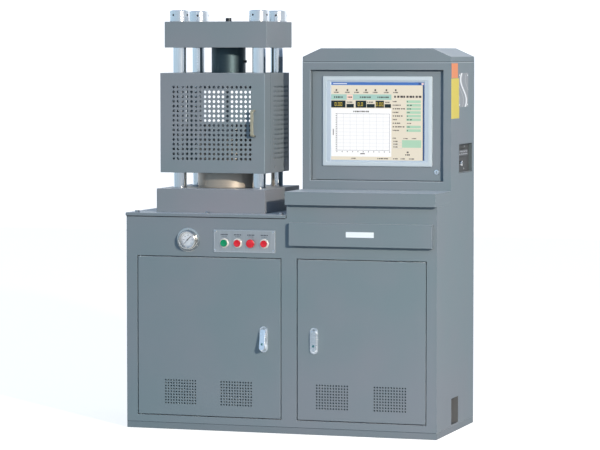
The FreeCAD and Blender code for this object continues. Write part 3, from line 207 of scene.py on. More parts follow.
def metal(name, colour, roughness, stretch=(1, 1, 1), scale=400.0, bump=0.1, metallic=1.0):
    """Bare or plated metal whose fine marks run along the stretch."""
    material, tree = new_material(name)
    marks = add_noise(tree, scale, 4.0, stretch)
    shade(tree, {
        "Metallic": metallic,
        "Base Color": drifting(tree, marks, colour, 0.06),
        "Roughness": map_range(tree, marks, {"To Min": roughness * 0.75, "To Max": roughness * 1.3}),
        "Normal": add_bump(tree, marks, bump, 0.0001),
    })
    return material


def plastic(name, colour, roughness=0.4, glow=0.0):
    """Plain plastic, print or flat paint; with a glow, part of its colour is its own light."""
    material, tree = new_material(name)
    grain = add_noise(tree, 700.0, 2.0)
    shade(tree, {
        "Base Color": drifting(tree, grain, scaled(colour, 1 - glow), 0.03),
        "Roughness": map_range(tree, grain, {"To Min": roughness * 0.85, "To Max": roughness * 1.15}),
        "Normal": add_bump(tree, grain, 0.06, 0.0002),
    })
    if glow:
        shade(tree, {"Emission Color": (*colour, 1), "Emission Strength": glow})
    return material


def painted_reflection_plate(name, dull, bright):
    """Polished plate with a painted reflection: one bent pale streak and a few thin ones."""
    material, tree = new_material(name)
    place = coordinate_parts(tree, "Object")
    half_wave, middle_z = 0.075, 1.1935
    pace = math.pi / half_wave
    turn = calculate(tree, "MULTIPLY_ADD", place["Z"], pace, -middle_z * pace)
    bend = calculate(tree, "MULTIPLY_ADD", calculate(tree, "SINE", turn), -0.040, 0.098)
    apart = calculate(tree, "SUBTRACT", place["Y"], bend)
    distance = calculate(tree, "ABSOLUTE", apart)
    streak = map_range(tree, distance, {"From Min": 0.012, "From Max": 0.003})
    ripple = calculate(tree, "SINE", calculate(tree, "MULTIPLY", apart, 120.0))
    thin = map_range(tree, ripple, {"From Min": 0.93, "To Max": 0.35})
    share = calculate(tree, "MAXIMUM", streak, thin)
    shade(tree, {
        "Base Color": add_ramp(tree, share, ((0.0, dull), (1.0, bright))),
        "Specular IOR Level": 0.2,
        "Roughness": 0.35,
    })
    return material


def clear_glass(name):
    material, tree = new_material(name)
    smudge = add_noise(tree, 60.0, 3.0)
    shade(tree, {
        "Base Color": (1, 1, 1, 1),
        "Transmission Weight": 1.0,
        "IOR": 1.06,
        "Roughness": map_range(tree, smudge, {"To Min": 0.0, "To Max": 0.03}),
    })
    return material


# Directions of a metal's fine marks: upright, level or none
UPRIGHT = (1, 1, 0.05)
LEVEL = (0.05, 0.05, 1)
EVEN = (1, 1, 1)
MATERIALS = {
    "cabinet": painted("cabinet_enamel", PAINT_BLUE_GREY),
    "plinth": painted("plinth_enamel", scaled(PAINT_BLUE_GREY, 0.92)),
    # Inside parts get the cabinet blue-grey at about half brightness: painted shade
    "inside": painted("inside_enamel_painted_shade", (0.10, 0.125, 0.14), 0.5),
    "block": painted("block_enamel", PAINT_BLOCK),
    "crosshead": painted("crosshead_enamel", PAINT_GUARD),
    "guard": painted("guard_enamel", PAINT_GUARD),
    "chrome": metal("hard_chrome", (0.86, 0.88, 0.90), 0.10, UPRIGHT, 300.0, 0.03),
    "nut": metal("turned_nut", (0.80, 0.83, 0.86), 0.20, LEVEL, 500.0, 0.05),
    "platen": metal("ground_platen", (0.36, 0.37, 0.38), 0.30, LEVEL, 400.0, 0.08),
    "spacer": metal("blackened_steel", (0.060, 0.090, 0.105), 0.46, (0.1, 0.1, 1), 300.0, 0.06),
    "cylinder": metal("turned_cylinder", (0.42, 0.38, 0.33), 0.38, LEVEL, 300.0, 0.06, 0.5),
    "bronze": metal("seat_bronze", (0.60, 0.42, 0.20), 0.30),
    "zinc": metal("zinc_plate", (0.62, 0.64, 0.66), 0.28),
    "screw": metal("screw_steel", (0.70, 0.71, 0.72), 0.22),
    "dark_bolt": metal("dark_bolt", (0.05, 0.055, 0.06), 0.40),
    "lock": metal("lock_chrome", (0.93, 0.95, 0.97), 0.22, EVEN, 200.0, 0.03),
    "steel_rim": metal("gauge_rim", (0.56, 0.56, 0.54), 0.24, EVEN, 300.0, 0.03),
    "bolt": metal("bolt_steel", (0.55, 0.56, 0.58), 0.20),
    "nameplate": painted_reflection_plate("plate_with_painted_reflection", (0.22, 0.25, 0.285), (0.88, 0.92, 0.97)),
    "key": plastic("key_barrel", (0.02, 0.16, 0.20), 0.35),
    "handle": plastic("handle_plastic", linear(146, 146, 130), 0.45),
    "dark": plastic("dark_plastic", (0.012, 0.013, 0.015), 0.45),
    "bezel": plastic("bezel_plastic", linear(186, 200, 210), 0.38),
    "housing": plastic("housing_plastic", (0.05, 0.052, 0.055), 0.5),
    "keys": plastic("keyboard_plastic", (0.03, 0.03, 0.032), 0.5),
    # Pale flat colour for a polished pull: painted reflection
    "drawer_plate": plastic("pale_plate_painted_reflection", linear(226, 236, 245), 0.3),
    "control_plate": metal("control_plate", (0.50, 0.52, 0.53), 0.48, UPRIGHT, 250.0, 0.04),
    "ring": plastic("button_ring", linear(206, 205, 202), 0.3),
    # Both cap colours carry a slight painted glow
    "green": plastic("green_cap", linear(6, 138, 92), 0.25, 0.06),
    "red": plastic("red_cap", linear(204, 34, 48), 0.25, 0.06),
    "mark": plastic("printed_mark", (0.045, 0.05, 0.07), 0.5),
    "plate_edge": metal("plate_edge", (0.66, 0.68, 0.70), 0.40),
    "contact": plastic("contact_plastic", (0.45, 0.45, 0.42), 0.5),
    "dial": plastic("dial_face", linear(248, 250, 252), 0.5),
    "black": plastic("black_print", (0.01, 0.01, 0.012), 0.5),
    "orange_strip": plastic("orange_strip", linear(220, 122, 50), 0.4),
    "yellow_strip": plastic("yellow_strip", linear(206, 188, 22), 0.4),
    "socket_paint": plastic("socket_paint", (0.062, 0.068, 0.072), 0.7),
    "seam": plastic("seam_shadow", (0.050, 0.075, 0.095), 0.6),
    # Pale strips painted along sheet edges as highlights
    "edge": plastic("painted_edge_highlight", (0.30, 0.36, 0.41), 0.4),
    "port": plastic("port_collar", (0.11, 0.12, 0.13), 0.6),
    "connector": plastic("connector_black", (0.02, 0.024, 0.03), 0.4),
    "pump": painted("pump_enamel", (0.03, 0.07, 0.16)),
    "glass": clear_glass("gauge_glass"),
    # Gauze whose near-black bluish tone also paints the shade inside the cabinet
    "gauze": plastic("vent_gauze_painted_shade", (0.012, 0.028, 0.036), 0.8),
    # Slightly darker copy of the bezel colour for its slope: painted shade
    "slope": plastic("bezel_slope_painted_shade", linear(176, 192, 208), 0.4),
    "floor": plastic("studio_floor", (0.5, 0.5, 0.5), 0.9),
    "backdrop": plastic("studio_backdrop", (0.5, 0.5, 0.5), 0.9),
}
# Colours of the lit display as eight-bit values, and how much of each is its own light
LIT = {
    "title": (72, 118, 190, 0.75), "beige": (228, 220, 202, 0.75), "teal": (166, 204, 194, 0.75),
    "white": (250, 251, 252, 0.75), "night": (8, 30, 34, 0.1), "digit": (214, 190, 70, 0.75),
    "field": (172, 210, 184, 0.75), "line": (196, 200, 208, 0.75), "ink": (60, 52, 52, 0.05),
    "frame": (120, 124, 140, 0.75), "edge": (52, 82, 140, 0.75), "pink": (246, 214, 200, 0.75),
}
for look, (*colour, glow) in LIT.items():
    MATERIALS["lit_" + look] = plastic("lit_" + look, linear(*colour), 0.35, glow)


# Mesh helpers

def round_edges(obj, width, angle):
    rounding = obj.modifiers.new("rounding", "BEVEL")
    rounding.width = width * MM
    rounding.segments = 2
    rounding.limit_method = "ANGLE"
    rounding.angle_limit = math.radians(angle)


def mesh_object(name, points, faces):
    """Object from points in millimetres."""
    mesh = bpy.data.meshes.new(name)
    mesh.from_pydata([Vector(p) * MM for p in points], [], faces)
    mesh.validate()
    work = bmesh.new()
    work.from_mesh(mesh)
    bmesh.ops.remove_doubles(work, verts=work.verts, dist=0.00001)
    bmesh.ops.recalc_face_normals(work, faces=work.faces)
    work.to_mesh(mesh)
    work.free()
    obj = bpy.data.objects.new(name, mesh)
    bpy.context.collection.objects.link(obj)
    return obj


def piece(name, shape, material, body, bevel=0.0, smooth=False):
    """Visible piece from points and faces, with its finish and the body that it rides on."""
    obj = mesh_object(name, *shape)
    obj.data.materials.append(MATERIALS[material])
    if smooth:
        obj.data.shade_smooth()
        obj.data.set_sharp_from_angle(angle=math.radians(32))
    if bevel:
        round_edges(obj, bevel, 35)
    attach(obj, body)
    return obj


def prism_faces(count):
    """Faces of a prism whose points are one outline and then the same outline farther on."""
    faces = [tuple(range(count)), tuple(range(2 * count - 1, count - 1, -1))]
    for n in range(count):
        m = (n + 1) % count
        faces.append((n, m, count + m, count + n))
    return faces


def ring_faces(rings, count, closed=False):
    """Faces between neighbouring rings of points, and from the last to the first if closed."""
    faces = []
    for ring in range(rings if closed else rings - 1):
        following = (ring + 1) % rings
        for n in range(count):
            m = (n + 1) % count
            low, high = ring * count, following * count
            faces.append((low + n, low + m, high + m, high + n))
    return faces


# Directions along an axis and twice across it
AXES = {
    "x": (Vector((1, 0, 0)), Vector((0, 1, 0)), Vector((0, 0, 1))),
    "y": (Vector((0, 1, 0)), Vector((0, 0, 1)), Vector((1, 0, 0))),
    "z": (Vector((0, 0, 1)), Vector((1, 0, 0)), Vector((0, 1, 0))),
}


def turned(name, profile, centre, axis, material, body, sides=64):
    """Round piece: the profile lists radius and distance along the axis from the centre."""
    along, across, upward = AXES[axis]
    points = []
    for radius, distance in profile:
        for n in range(sides):
            angle = 2 * math.pi * n / sides
            turn = across * math.cos(angle) + upward * math.sin(angle)
            points.append(Vector(centre) + along * distance + turn * radius)
    shape = points, ring_faces(len(profile), sides)
    return piece(name, shape, material, body, smooth=True)


def slab(name, outline, plane, base, thickness, material, body, bevel=0.3):
    """Flat piece with an outline on the front, the right side or a top."""
    place = {
        "front": lambda u, v, t: (u, base - t, v),
        "side": lambda u, v, t: (base + t, u, v),
        "top": lambda u, v, t: (u, v, base + t),
    }[plane]
    points = [place(u, v, t) for t in (0, thickness) for u, v in outline]
    return piece(name, (points, prism_faces(len(outline))), material, body, bevel)


def boxes(*spans):
    """Points and faces of boxes, each given by its spans along x, y and z."""
    points, faces = [], []
    for x, y, z in spans:
        add_box(points, faces, x, y, z)
    return points, faces


def add_box(points, faces, x, y, z):
    start = len(points)
    points += [(px, py, pz) for px in x for py in y for pz in z]
    for quad in ((0, 1, 3, 2), (4, 6, 7, 5), (0, 4, 5, 1), (2, 3, 7, 6), (0, 2, 6, 4), (1, 5, 7, 3)):
        faces.append(tuple(start + n for n in quad))


def rounded(u, v, radius, steps=6):
    """Outline of a rectangle with round corners."""
    corners = ((u[1], v[1], 0), (u[0], v[1], 90), (u[0], v[0], 180), (u[1], v[0], 270))
    outline = []
    for corner_u, corner_v, start in corners:
        inward_u = corner_u - radius if corner_u == u[1] else corner_u + radius
        inward_v = corner_v - radius if corner_v == v[1] else corner_v + radius
        for step in range(steps + 1):
            angle = math.radians(start + 90 * step / steps)
            outline.append((inward_u + radius * math.cos(angle), inward_v + radius * math.sin(angle)))
    return outline


def rectangle(u, v):
    return [(u[0], v[0]), (u[1], v[0]), (u[1], v[1]), (u[0], v[1])]


def grown(span, margin):
    """Span made longer by the same margin at both ends."""
    return span[0] - margin, span[1] + margin


def circle(u, v, radius, sides=24):
    turns = [2 * math.pi * n / sides for n in range(sides)]
    return [(u + radius * math.cos(turn), v + radius * math.sin(turn)) for turn in turns]


def rim_between(outer, inner, base, height):
    """Raised rim on the front between two outlines with the same number of points."""
    points = []
    for outline, level in ((outer, base), (outer, base - height), (inner, base - height), (inner, base)):
        points += [(u, level, v) for u, v in outline]
    return points, ring_faces(4, len(outer), True)


def hole_ring(radius):
    """Points of a hole and of the square round it, matched corner to corner."""
    inner = []
    square = []
    for n in range(HOLE_SIDES):
        angle = 2 * math.pi * n / HOLE_SIDES + math.pi / 4
        inner.append((radius * math.cos(angle), radius * math.sin(angle)))
        reach = max(abs(math.cos(angle)), abs(math.sin(angle)))
        square.append((math.cos(angle) / reach, math.sin(angle) / reach))
    return inner, square


def field_limits(field):
    """Rectangle that a punched field fills, half a pitch past its outer holes."""
    half = field["pitch"] / 2
    (u, v), (columns, rows) = field["first"], field["counts"]
    return (u - half, u - half + columns * field["pitch"]), (v - half, v - half + rows * field["pitch"])


def on_front(y):
    """Places sheet coordinates on a plane that faces the front, with depth behind it."""
    return lambda u, v, depth: (u, y + depth, v)


def punched_sheet(u, v, fields, windows, place, thickness, chamfer=0.6):
    """Points and faces of a sheet with punched fields and plain windows, front and back."""
    outline = rectangle(u, v)
    u = grown(u, -chamfer)
    v = grown(v, -chamfer)
    points = []
    faces = []

    def quad(corners, depths):
        start = len(points)
        points.extend(place(pu, pv, depth) for (pu, pv), depth in zip(corners, depths))
        faces.append(tuple(range(start, start + 4)))

    def both_sides(corners):
        quad(corners, (0,) * 4)
        quad(corners[::-1], (thickness,) * 4)

    def wall(a, b):
        quad((a, b, b, a), (0, 0, thickness, thickness))

    holes = [field_limits(field) for field in fields] + windows
    breaks_u = sorted({*u, *[x for hole in holes for x in hole[0]]})
    breaks_v = sorted({*v, *[x for hole in holes for x in hole[1]]})
    for u0, u1 in zip(breaks_u, breaks_u[1:]):
        for v0, v1 in zip(breaks_v, breaks_v[1:]):
            middle_u, middle_v = (u0 + u1) / 2, (v0 + v1) / 2
            if not any(hu[0] < middle_u < hu[1] and hv[0] < middle_v < hv[1] for hu, hv in holes):
                both_sides(rectangle((u0, u1), (v0, v1)))
    for window in windows:
        corners = rectangle(*window)
        for a, b in zip(corners, corners[1:] + corners[:1]):
            wall(a, b)
    inner = rectangle(u, v)
    for n in range(4):
        m = (n + 1) % 4
        quad((inner[n], inner[m], outline[m], outline[n]), (0, 0, chamfer, chamfer))
        quad((outline[n], outline[m], inner[m], inner[n]), (chamfer, chamfer, thickness, thickness))
    for field in fields:
        ring_points, square = hole_ring(field["radius"])
        half = field["pitch"] / 2
        for column in range(field["counts"][0]):
            for row in range(field["counts"][1]):
                hu = field["first"][0] + column * field["pitch"]
                hv = field["first"][1] + row * field["pitch"]
                ring = [(hu + a, hv + b) for a, b in ring_points]
                edge = [(hu + a * half, hv + b * half) for a, b in square]
                for n in range(HOLE_SIDES):
                    m = (n + 1) % HOLE_SIDES
                    both_sides((ring[n], edge[n], edge[m], ring[m]))
                    wall(ring[n], ring[m])
    return points, faces


def screw(name, u, v, plane, base, radius, body, material="screw"):
    """Pan head with a cross slot painted as shade: two thin dark bars on its crown."""
    axis = {"front": "y", "side": "x", "top": "z"}[plane]
    side = -1 if plane == "front" else 1
    centre = {"front": (u, base, v), "side": (base, u, v), "top": (u, v, base)}[plane]
    crown = ((0, 0), (1, 0), (1, 0.5), (0.85, 1.3), (0.5, 1.7), (0, 1.8))
    profile = [(radius * share, side * height) for share, height in crown]
    turned(name, profile, centre, axis, material, body, 24)
    level = base + side * 1.62
    long, narrow = radius * 0.55, radius * 0.12
    for part, (half_u, half_v) in (("a", (long, narrow)), ("b", (narrow, long))):
        outline = rectangle((u - half_u, u + half_u), (v - half_v, v + half_v))
        slab(name + "_slot_" + part, outline, plane, level, 0.25, "dark_bolt", body, 0)


# Carried-over nodes by their look

NODE_LOOKS = {
    "plinth": "base_frame",
    "inside": "floor_sheets inner_stand socket_panel oil_tank drawer_tray",
    "cabinet": (
        "front_fascia left_side middle_wall right_side rear_covers work_plate shelf "
        "console_front roof_cap left_door right_door drawer_front monitor_panel"
    ),
    "zinc": (
        "frame_bolts drawer_runners guard_hinge_pins "
        "guard_hinge_leaves left_lock_spindle right_lock_spindle"
    ),
    "block": "base_block",
    "chrome": "columns",
    "nut": "column_nuts",
    "crosshead": "crosshead",
    "spacer": "upper_spacer",
    "cylinder": "cylinder",
    "guard": "guard_side_panels guard_rear_panel column_clamps guard_door",
    "steel_rim": "gauge_case",
    "glass": "gauge_glass",
    "control_plate": "button_plate",
    "contact": "contact_blocks control_box",
    "pump": "pump_unit",
    "housing": "computer",
    "handle": "guard_handle",
    "lock": "left_lock_body left_lock_lever right_lock_body right_lock_lever cam_lock",
    "keys": "keyboard",
    "bezel": "monitor_case",
    "dark": "monitor_screen",
    "platen": "ram lower_platen upper_platen",
    "bronze": "seat_liner",
    "black": "gauge_needle",
    "green": "start_button",
    "red": "stop_button emergency_button reset_button",
}
EDGE_RADIUS = {
    "base_block": 2.5, "crosshead": 2.5, "work_plate": 1.5, "keyboard": 1.5, "console_front": 2.2,
    "roof_cap": 2.4, "shelf": 1.6, "drawer_front": 1.6, "base_frame": 2.2, "right_side": 0.9,
    "front_fascia": 0.9,
}


def dress_nodes():
    """Gives every carried-over node its finish and softly rounded edges."""
    looks = {node: look for look, nodes in NODE_LOOKS.items() for node in nodes.split()}
    for node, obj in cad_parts.items():
        obj.data.materials.clear()
        obj.data.materials.append(MATERIALS[looks[node]])
        weld = obj.modifiers.new("weld", "WELD")
        weld.merge_threshold = 0.00001
        round_edges(obj, EDGE_RADIUS.get(node, 0.7), 40)


# Cabinet doors

def vented_door(side):
    """Door skin with two punched vents and the lock's cut-out, over folded flanges."""
    node = side + "_door"
    gap, flange, lock_half = 0.9, 2, 8.3
    low, high = box_mm(node)
    x, z = grown((low.x, high.x), -gap), grown((low.z, high.z), -gap)
    fields = []
    for first in VENTS[node]:
        fields.append({"first": first, "counts": VENT_COUNTS, "pitch": VENT_PITCH, "radius": VENT_RADIUS})
    window = grown((LOCK_X[side],) * 2, lock_half), grown((LOCK_PIVOT_Z,) * 2, lock_half)
    points, faces = punched_sheet(x, z, fields, [window], on_front(low.y), 2.0, 1.3)
    depth = (low.y + 1.0, high.y)
    add_box(points, faces, (x[0], x[0] + flange), depth, z)
    add_box(points, faces, (x[1] - flange, x[1]), depth, z)
    add_box(points, faces, x, depth, (z[0], z[0] + flange))
    add_box(points, faces, x, depth, (z[1] - flange, z[1]))
    obj = piece(node + "_skin", (points, faces), "cabinet", node)
    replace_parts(obj, node)
    for n, field in enumerate(fields):
        # Dark sheet behind each vent: gauze, with painted shade of the cabinet's inside
        mat = rectangle(*field_limits(field))
        slab(f"{node}_gauze_{n}", mat, "front", low.y + 3.4, 1.2, "gauze", node, 0)


# Guard

def guard():
    """Punched door with wrapped returns and hems, and the side panels with their rear flanges."""
    sheet, flange = 1.5, 22
    low, high = box_mm("guard_door")
    x, z = (low.x, high.x), (low.z, high.z)
    points, faces = punched_sheet(x, z, [GUARD_HOLES], [], on_front(low.y), sheet, 1.3)
    depth = (low.y + 1.0, high.y)
    add_box(points, faces, (low.x, low.x + sheet), depth, z)
    add_box(points, faces, (high.x - sheet, high.x), depth, z)
    lip = (low.y + 1.0, low.y + 12)
    add_box(points, faces, x, lip, (low.z, low.z + sheet))
    add_box(points, faces, x, lip, (high.z - sheet, high.z))
    hem = (high.y - 2.5, high.y)
    add_box(points, faces, (high.x - sheet, high.x + 1.0), hem, z)
    add_box(points, faces, (low.x - 1.0, low.x + sheet), hem, z)
    door = piece("guard_door_skin", (points, faces), "guard", "guard_door")
    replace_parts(door, "guard_door")
    low, high = box_mm("guard_side_panels")
    y, z = (low.y, high.y), (low.z, high.z)
    points = []
    faces = []
    for x in (low.x, high.x - sheet):
        place = lambda u, v, t, x=x: (x + t, u, v)
        part_points, part_faces = punched_sheet(y, z, [GUARD_SIDE_HOLES], [], place, sheet)
        start = len(points)
        points += part_points
        faces += [tuple(start + n for n in face) for face in part_faces]
        span = (x, x + flange) if x == low.x else (x + sheet - flange, x + sheet)
        add_box(points, faces, span, (high.y - 2, high.y), z)
    panels = piece("guard_side_skins", (points, faces), "guard", "machine")
    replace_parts(panels, "guard_side_panels")
    for n, (y, z) in enumerate(((-56.3, 922.6), (67.5, 937.3), (67.5, 909.7))):
        screw(f"guard_screw_{n}", y, z, "side", high.x, 3.0, "machine")


def guard_handle():
    """Moulded bow handle with a dark foot at its lower end."""
    low, high = box_mm("guard_handle")
    width = high.x - low.x
    reach = high.y - low.y
    bow = (
        (low.z, 0), (low.z, 0.7), (low.z + 6, 1), (high.z - 6, 1), (high.z, 0.7), (high.z, 0),
        (high.z - 6, 0), (high.z - 6, 0.62), (high.z - 9, 0.76),
        (low.z + 9, 0.76), (low.z + 6, 0.62), (low.z + 6, 0),
    )
    outline = [(high.y - share * reach, v) for v, share in bow]
    slot, body = "handle_plastic", "guard_door"
    obj = slab("guard_handle_bow", outline, "side", low.x, width, "handle", body, 1.2)
    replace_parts(obj, "guard_handle")
    foot = rectangle((high.y - 6, high.y - 0.2), (low.z - 0.6, low.z + 5.4))
    slab("guard_handle_foot", foot, "side", low.x - 0.4, width + 0.8, "dark", body, 0.6)


# Load frame

def nut_profile(height):
    """Round nut with chamfered rims and the column's end sunk in its top."""
    return [
        (0, 0), (NUT_RADIUS - 1.5, 0), (NUT_RADIUS, 1.5), (NUT_RADIUS, height - 2), (NUT_RADIUS - 2, height),
        (COLUMN_RADIUS + 1.5, height), (COLUMN_RADIUS + 0.4, height - 1.4), (COLUMN_RADIUS, height - 1.6),
        (COLUMN_RADIUS - 2, height - 0.8), (0, height - 0.8),
    ]


def load_frame():
    """Columns and their nuts; the holes for a tommy bar face another way on the rear nuts."""
    low, high = box_mm("columns")
    nut_low, nut_high = box_mm("column_nuts")
    height = nut_high.z - nut_low.z
    rod = [(0, low.z), (COLUMN_RADIUS, low.z), (COLUMN_RADIUS, high.z), (0, high.z)]
    nut = nut_profile(height)
    columns, nuts = [], []
    for n, x in enumerate(COLUMN_X):
        for m, y in enumerate(COLUMN_Y):
            name = f"column_{n}{m}"
            columns.append(turned(name, rod, (x, y, 0), "z", "chrome", "machine", 96))
            name = f"column_nut_{n}{m}"
            nuts.append(turned(name, nut, (x, y, nut_low.z), "z", "nut", "machine", 96))
            for k in range(4):
                angle = math.radians(90 * k + (70 if m == 0 else 12))
                outward = Vector((math.cos(angle), math.sin(angle), 0))
                middle = Vector((x, y, nut_low.z + 0.58 * height))
                tommy_hole(f"tommy_hole_{n}{m}{k}", middle + outward * (NUT_RADIUS - 0.05), outward)
    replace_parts(columns[0], "columns")
    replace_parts(nuts[0], "column_nuts")


def tommy_hole(name, spot, outward):
    """Black disc on the nut that paints the shade of a hole for a tommy bar, and a bright countersink round
    it.
    """
    sides = 20
    sideways = Vector((-outward.y, outward.x, 0))
    for part, radius, lift, material in (("rim", 4.6, 0.08, "chrome"), ("hole", 3.8, 0.16, "black")):
        points = []
        for across, upward in circle(0, 0, radius, sides):
            sag = across * across / (2 * NUT_RADIUS)
            points.append(spot + sideways * across + Vector((0, 0, upward)) + outward * (lift - sag))
        points += [p - outward * 0.3 for p in points]
        piece(name + "_" + part, (points, prism_faces(sides)), material, "machine")


def jack():
    """Cylinder, ram, platens, spacer and the lock screw, all turned."""
    centre = (FRAME_X, FRAME_Y, 0)
    outer = PLATEN_RADIUS

    def on_axis(name, profile, material, body, sides=128):
        return turned(name, profile, centre, "z", material, body, sides)

    low, high = box_mm("cylinder")
    tube = [
        (0, low.z), (outer - 2, low.z), (outer, low.z + 2), (outer, high.z - 3), (outer - 3, high.z),
        (RAM_RADIUS + 0.4, high.z), (RAM_RADIUS + 0.4, high.z - 30),
    ]
    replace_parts(on_axis("jack_cylinder", tube, "cylinder", "machine"), "cylinder")
    low, high = box_mm("ram")
    rod = [(0, low.z), (RAM_RADIUS, low.z), (RAM_RADIUS, high.z), (0, high.z)]
    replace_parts(on_axis("jack_ram", rod, "platen", "ram"), "ram")
    low, high = box_mm("lower_platen")
    disc = [
        (0, low.z), (outer - 3, low.z), (outer, low.z + 3),
        (outer, high.z - 2), (outer - 2, high.z), (0, high.z),
    ]
    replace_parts(on_axis("lower_platen_face", disc, "platen", "ram"), "lower_platen")
    low, high = box_mm("upper_platen")
    top = low.z + 42
    dome = [
        (0, low.z), (outer - 2, low.z), (outer, low.z + 2), (outer, top - 3), (outer - 3, top), (51.4, top),
    ]
    seat = SEAT_RADIUS * 0.985
    for slope in (40, 33, 26, 19, 12, 6, 0):
        angle = math.radians(slope)
        dome.append((seat * math.sin(angle), low.z + seat * math.cos(angle)))
    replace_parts(on_axis("upper_platen_dome", dome, "platen", "upper_platen"), "upper_platen")
    low, high = box_mm("upper_spacer")
    skirt = low.z - 9
    spacer = [
        (56, skirt), (59.5, skirt), (61, skirt + 1.5), (61, high.z - 1), (60, high.z),
        (0, high.z), (0, low.z + 18), (40, low.z + 12), (56, skirt),
    ]
    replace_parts(on_axis("spacer_body", spacer, "spacer", "machine", 96), "upper_spacer")
    screw_centre = (FRAME_X + 60, FRAME_Y, 1293)
    knob = [(0, 0), (3, 0), (3, 2), (5, 3), (5, 7), (4, 8), (0, 8)]
    turned("spacer_lock_screw", knob, screw_centre, "x", "dark_bolt", "machine", 24)
    bolt_centre = (FRAME_X, FRAME_Y, box_mm("crosshead")[1].z + 0.3)
    bolt = [
        (0, 0), (12, 0), (12, 1.5), (10.5, 2), (10.5, 12), (9.5, 13.4), (5.5, 13.4), (5.5, 8), (0, 8),
    ]
    turned("crosshead_centre_bolt", bolt, bolt_centre, "z", "dark_bolt", "machine", 32)


# Front controls

def gauge():
    """Chrome case with a flange, dial with a plain scale, and a clear cover."""
    low, high = box_mm("gauge_case")
    x = (low.x + high.x) / 2
    z = (low.z + high.z) / 2
    face = FRONT_Y
    centre = (x, face, z)
    case = [
        (0, 0), (42, 0), (42.4, -0.6), (42.2, -1.6), (41, -2), (34, -2.2), (33, -3), (33, -17),
        (32.4, -18.5), (31, -20.4), (29.5, -21.2), (28.2, -20.6), (27.8, -19), (27.8, -4), (0, -4),
    ]
    body = turned("gauge_body", case, centre, "y", "steel_rim", "machine", 96)
    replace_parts(body, "gauge_case")
    stem = rectangle((x - 7, x + 7), (z - 7, z + 7))
    slab("gauge_stem", stem, "front", face + 28, 27.5, "zinc", "machine", 0.8)
    dial = [(0, -4.2), (27.6, -4.2), (27.6, -4.6), (0, -4.6)]
    turned("gauge_dial_face", dial, centre, "y", "dial", "machine")
    points, faces = [], []
    ticks, long_every, tick_end = 60, 10, 25.4
    for n in range(ticks + 1):
        angle = math.radians(225 - 270 * n / ticks)
        inner, half = (20.0, 0.42) if n % long_every == 0 else (22.2, 0.2)
        along = Vector((math.cos(angle), math.sin(angle)))
        side = Vector((-along.y, along.x)) * half
        start = len(points)
        near, far = along * inner, along * tick_end
        corners = (near + side, near - side, far - side, far + side)
        for level in (face - 4.6, face - 4.75):
            points += [(x + corner.x, level, z + corner.y) for corner in corners]
        faces += [tuple(start + corner for corner in quad) for quad in prism_faces(4)]
    piece("gauge_scale", (points, faces), "black", "machine")
    for n in range(7):
        angle = math.radians(225 - 270 * n / 6)
        place = (x + 15.8 * math.cos(angle), face - 4.65, z + 15.8 * math.sin(angle))
        number(f"gauge_number_{n}", str(n * 10), place)
    cover = [(0, -17.5), (27.4, -17.5), (27.4, -19.3), (0, -19.3)]
    glass = turned("gauge_cover", cover, centre, "y", "glass", "machine")
    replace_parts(glass, "gauge_glass")
    for n in range(3):
        angle = math.radians(90 + 120 * n)
        u, v = x + 38.3 * math.cos(angle), z + 38.3 * math.sin(angle)
        screw(f"gauge_screw_{n}", u, v, "front", face - 2.1, 2.2, "machine")
    needle(x, z)


def needle(x, z):
    """Slim pointer with a counterweight and a domed hub."""
    start = math.radians(-135)
    half = ((1.1, -17), (1.3, -6), (0.9, 0), (0.25, 21))
    shape = [(-1.1, -17), *half, *[(-across, length) for across, length in half[:0:-1]]]
    outline = []
    for across, length in shape:
        u = x + across * math.cos(start) + length * math.sin(start)
        v = z - across * math.sin(start) + length * math.cos(start)
        outline.append((u, v))
    obj = slab("needle_pointer", outline, "front", -262.2, 0.7, "black", "gauge_needle", 0.1)
    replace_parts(obj, "gauge_needle")
    hub = [(0, 0), (2.4, 0), (2.3, -1.0), (1.6, -1.7), (0, -2.0)]
    turned("needle_hub", hub, (x, -262.4, z), "y", "black", "gauge_needle", 32)


def number(name, text, place):
    """Plain printed number."""
    curve = bpy.data.curves.new(name, "FONT")
    curve.body = text
    curve.size = 4.6 * MM
    curve.align_x = "CENTER"
    curve.align_y = "CENTER"
    curve.extrude = 0.08 * MM
    obj = bpy.data.objects.new(name, curve)
    bpy.context.collection.objects.link(obj)
    obj.location = Vector(place) * MM
    obj.rotation_euler = (math.radians(90), 0, 0)
    curve.materials.append(MATERIALS["black"])
    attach(obj, "machine")


BUTTONS = {"start_button": "green", "stop_button": "red", "emergency_button": "red", "reset_button": "red"}


def controls():
    """Plate with corner screws, collars, caps and a short printed dash above each button."""
    low, high = box_mm("button_plate")
    face = FRONT_Y - 2.0
    plate_x, plate_z = (low.x, high.x), (low.z, high.z)
    centres = {node: sum(corner.x for corner in box_mm(node)) / 2 for node in BUTTONS}
    holes = [
        {"first": (x, BUTTON_Z), "counts": (1, 1), "pitch": 30, "radius": 12.8} for x in centres.values()
    ]
    shape = punched_sheet(plate_x, plate_z, holes, [], on_front(face), 2.0, 0.8)
    obj = piece("control_plate_face", shape, "control_plate", "machine")
    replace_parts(obj, "button_plate")
    corners = [(x, z) for z in grown(plate_z, -7) for x in grown(plate_x, -7)]
    for n, (x, z) in enumerate(corners):
        screw(f"control_screw_{n}", x, z, "front", face, 3.4, "machine", "lock")
    outer = rectangle(grown(plate_x, -0.8), grown(plate_z, -0.8))
    inner = rectangle(grown(plate_x, -3.6), grown(plate_z, -3.6))
    piece("control_plate_edge", rim_between(outer, inner, face, 0.4), "plate_edge", "machine")
    for n, (node, x) in enumerate(centres.items()):
        button(node, n, (x, face, BUTTON_Z))


